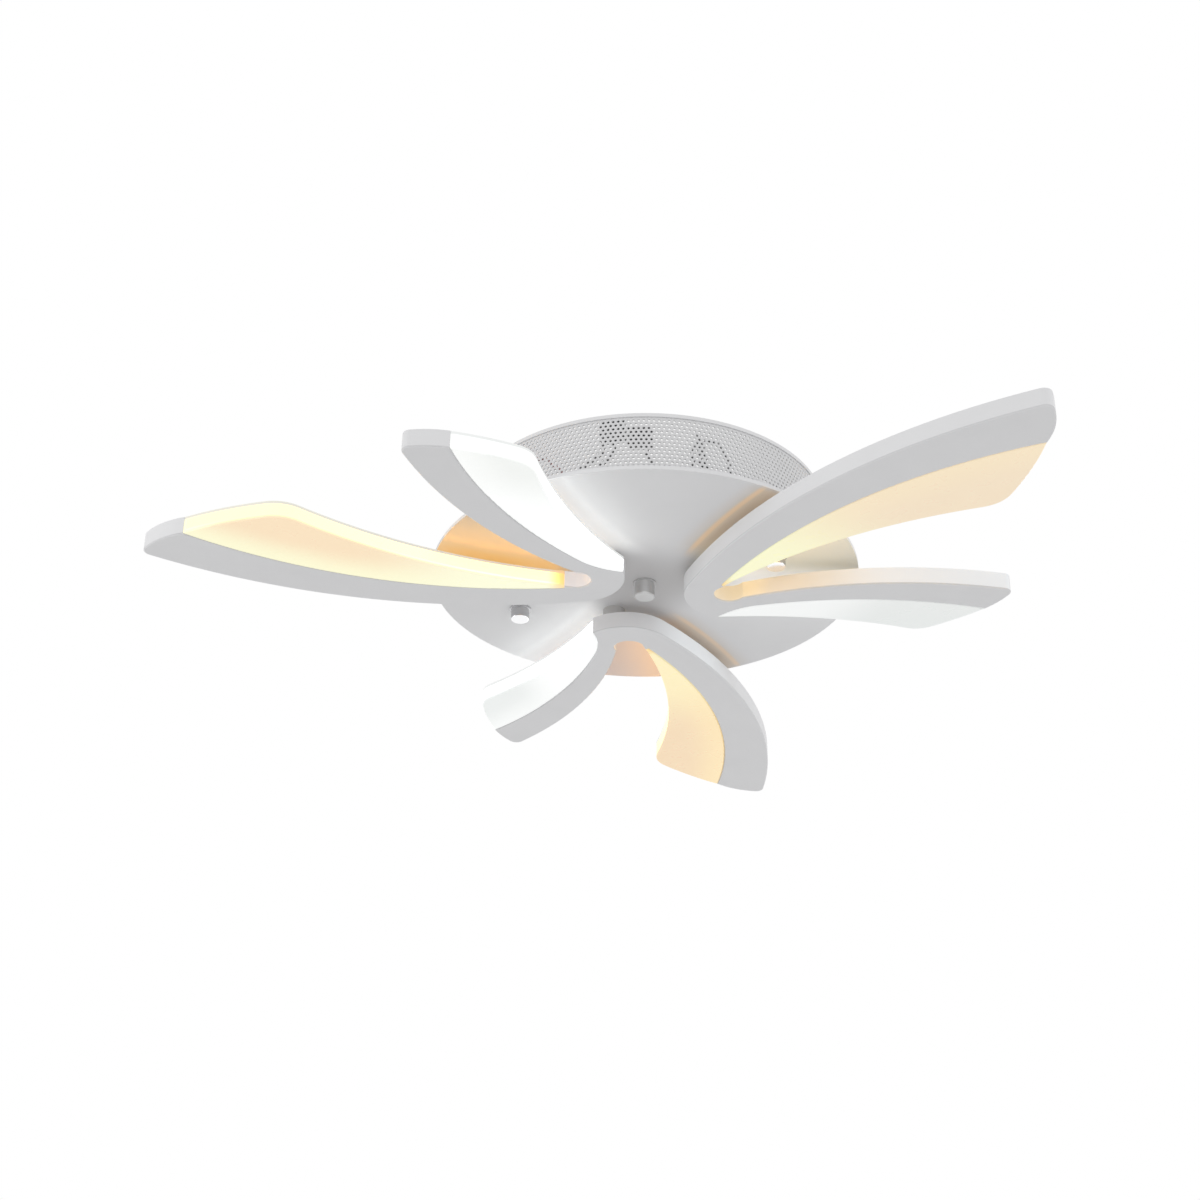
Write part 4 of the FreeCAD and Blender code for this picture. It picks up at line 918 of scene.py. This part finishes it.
class LAMP_OT_stage(bpy.types.Operator):
    """Set the camera, the soft light and the floor"""

    bl_idname = "lamp.stage"
    bl_label = "Stage"

    def execute(self, context):
        settings = context.scene.lamp_stage
        context.scene.view_settings.view_transform = "Standard"
        self.set_camera(context, settings)
        self.set_world(context, settings)
        self.set_lights(context, settings)
        self.set_floor(settings)
        return {"FINISHED"}

    def set_camera(self, context, settings):
        """Camera that looks up at the lamp's lowest point on its axis, then panned, tilted and rolled."""
        turn = Matrix.Rotation(settings.heading, 3, "Z")
        right = Vector((1.0, 0.0, 0.0))
        ahead = Vector((0.0, math.cos(settings.climb), math.sin(settings.climb)))
        rows = Matrix((right, right.cross(ahead), ahead)) @ turn.transposed()
        for angle, axis in ((settings.pan, "Y"), (settings.tilt, "X"), (settings.roll, "Z")):
            rows = Matrix.Rotation(angle, 3, axis) @ rows
        target = Vector((0.0, 0.0, HEAD_LOW))
        place = target - turn @ ahead * settings.distance
        data = bpy.data.cameras.new("photo_camera")
        data.sensor_width = 36.0
        data.lens = settings.focal_length
        data.clip_end = 50.0
        camera = bpy.data.objects.new("photo_camera", data)
        context.scene.collection.objects.link(camera)
        axes = Matrix((rows[0], rows[1], -rows[2])).transposed()
        camera.matrix_world = Matrix.Translation(place) @ axes.to_4x4()
        context.scene.camera = camera

    def set_world(self, context, settings):
        """White where it is seen or mirrored, and a soft even light elsewhere."""
        world = bpy.data.worlds.new("studio")
        world.use_nodes = True
        nodes, links = world.node_tree.nodes, world.node_tree.links
        background = nodes["Background"]
        background.inputs["Color"].default_value = (1.0, 1.0, 1.0, 1.0)
        rays = nodes.new("ShaderNodeLightPath")
        seen = rays.outputs["Is Camera Ray"]
        for name in ("Is Glossy Ray", "Is Transmission Ray"):
            either = nodes.new("ShaderNodeMath")
            either.operation = "MAXIMUM"
            links.new(seen, either.inputs[0])
            links.new(rays.outputs[name], either.inputs[1])
            seen = either.outputs[0]
        strength = nodes.new("ShaderNodeMapRange")
        links.new(seen, strength.inputs["Value"])
        strength.inputs["To Min"].default_value = settings.ambient
        strength.inputs["To Max"].default_value = 1.0
        links.new(strength.outputs["Result"], background.inputs["Strength"])
        context.scene.world = world

    def set_lights(self, context, settings):
        """Wide soft lights level with the lamp: one on the camera's side and one at each side."""
        width_share, height_share = 0.67, 0.27
        level = Vector((0.0, 0.0, -0.1))
        for name, turn, away, power in (
            ("front_light", 0.0, 3.0, settings.front_power),
            ("left_light", -72.0, 1.4, settings.left_power),
            ("right_light", 75.0, 3.0, settings.right_power),
        ):
            data = bpy.data.lights.new(name, "AREA")
            data.shape = "RECTANGLE"
            data.size = away * width_share
            data.size_y = away * height_share
            data.energy = power
            light = bpy.data.objects.new(name, data)
            context.scene.collection.objects.link(light)
            heading = settings.heading + math.radians(turn)
            side = Matrix.Rotation(heading, 3, "Z") @ Vector((0.0, -1.0, 0.0))
            light.location = side * away + level
            light.rotation_euler = (-side).to_track_quat("-Z", "Z").to_euler()

    def set_floor(self, settings):
        """Round floor: rings of points around the lamp's axis, joined by quads.

        It glows a little where it is seen or mirrored, so that it looks white there.
        """
        segments = 64
        seen_glow = 0.4
        reach = np.array([0.001, 1.0, 2.5, 5.0])
        turn = np.arange(segments)[:, None] * 2 * math.pi / segments
        height = np.full((segments, len(reach)), -settings.floor_drop)
        points = np.stack([np.cos(turn) * reach, np.sin(turn) * reach, height], axis=-1).reshape(-1, 3)
        index = np.arange(segments * len(reach)).reshape(segments, len(reach))
        ahead = np.roll(index, -1, axis=0)
        quads = np.stack([index[:, :-1], index[:, 1:], ahead[:, 1:], ahead[:, :-1]], axis=-1).reshape(-1, 4)
        floor = new_piece("studio_floor", points, quads)
        finish = Finish("floor_paint")
        rays = finish.nodes.new("ShaderNodeLightPath")
        seen = finish.maths("MAXIMUM", rays.outputs["Is Camera Ray"], rays.outputs["Is Glossy Ray"])
        finish.set(
            Base_Color=finish.mottle(finish.noise(scale=3.0), (1.0, 1.0, 1.0), dark=0.86, pale=0.9),
            Roughness=0.8,
            Emission_Color=(1.0, 1.0, 1.0, 1.0),
            Emission_Strength=finish.maths("MULTIPLY", seen, seen_glow),
        )
        floor.data.materials.append(finish.material)


class LAMP_PT_sidebar(bpy.types.Panel):
    """Settings and steps of the lamp"""

    bl_idname = "LAMP_PT_sidebar"
    bl_label = "Petal ceiling lamp"
    bl_space_type = "VIEW_3D"
    bl_region_type = "UI"
    bl_category = "Lamp"

    def draw(self, context):
        scene = context.scene
        for title, group in (("Canopy", scene.lamp_canopy), ("Glow", scene.lamp_glow),
                             ("Metal", scene.lamp_metal), ("Stage", scene.lamp_stage)):
            box = self.layout.box()
            box.label(text=title)
            for name in group.__annotations__:
                box.prop(group, name)
        for operator in OPERATORS:
            self.layout.operator(operator.bl_idname)


GROUPS = {
    "lamp_canopy": CanopySettings,
    "lamp_glow": GlowSettings,
    "lamp_metal": MetalSettings,
    "lamp_stage": StageSettings,
}
OPERATORS = (
    LAMP_OT_canopy,
    LAMP_OT_heads,
    LAMP_OT_nuts,
    LAMP_OT_hardware,
    LAMP_OT_electrics,
    LAMP_OT_stage,
)
CLASSES = (*GROUPS.values(), *OPERATORS, LAMP_PT_sidebar)


def register():
    """Register the classes, and give each scene the groups of settings."""
    for kind in CLASSES:
        bpy.utils.register_class(kind)
    for name, group in GROUPS.items():
        setattr(bpy.types.Scene, name, bpy.props.PointerProperty(type=group))


def unregister():
    """Take the groups of settings and the classes away again."""
    for name in GROUPS:
        delattr(bpy.types.Scene, name)
    for kind in reversed(CLASSES):
        bpy.utils.unregister_class(kind)


def main():
    """Build the dressed lamp in order."""
    register()
    bpy.ops.lamp.stage()
    bpy.ops.lamp.canopy()
    bpy.ops.lamp.heads()
    bpy.ops.lamp.nuts()
    bpy.ops.lamp.hardware()
    bpy.ops.lamp.electrics()


if __name__ == "__main__":
    main()
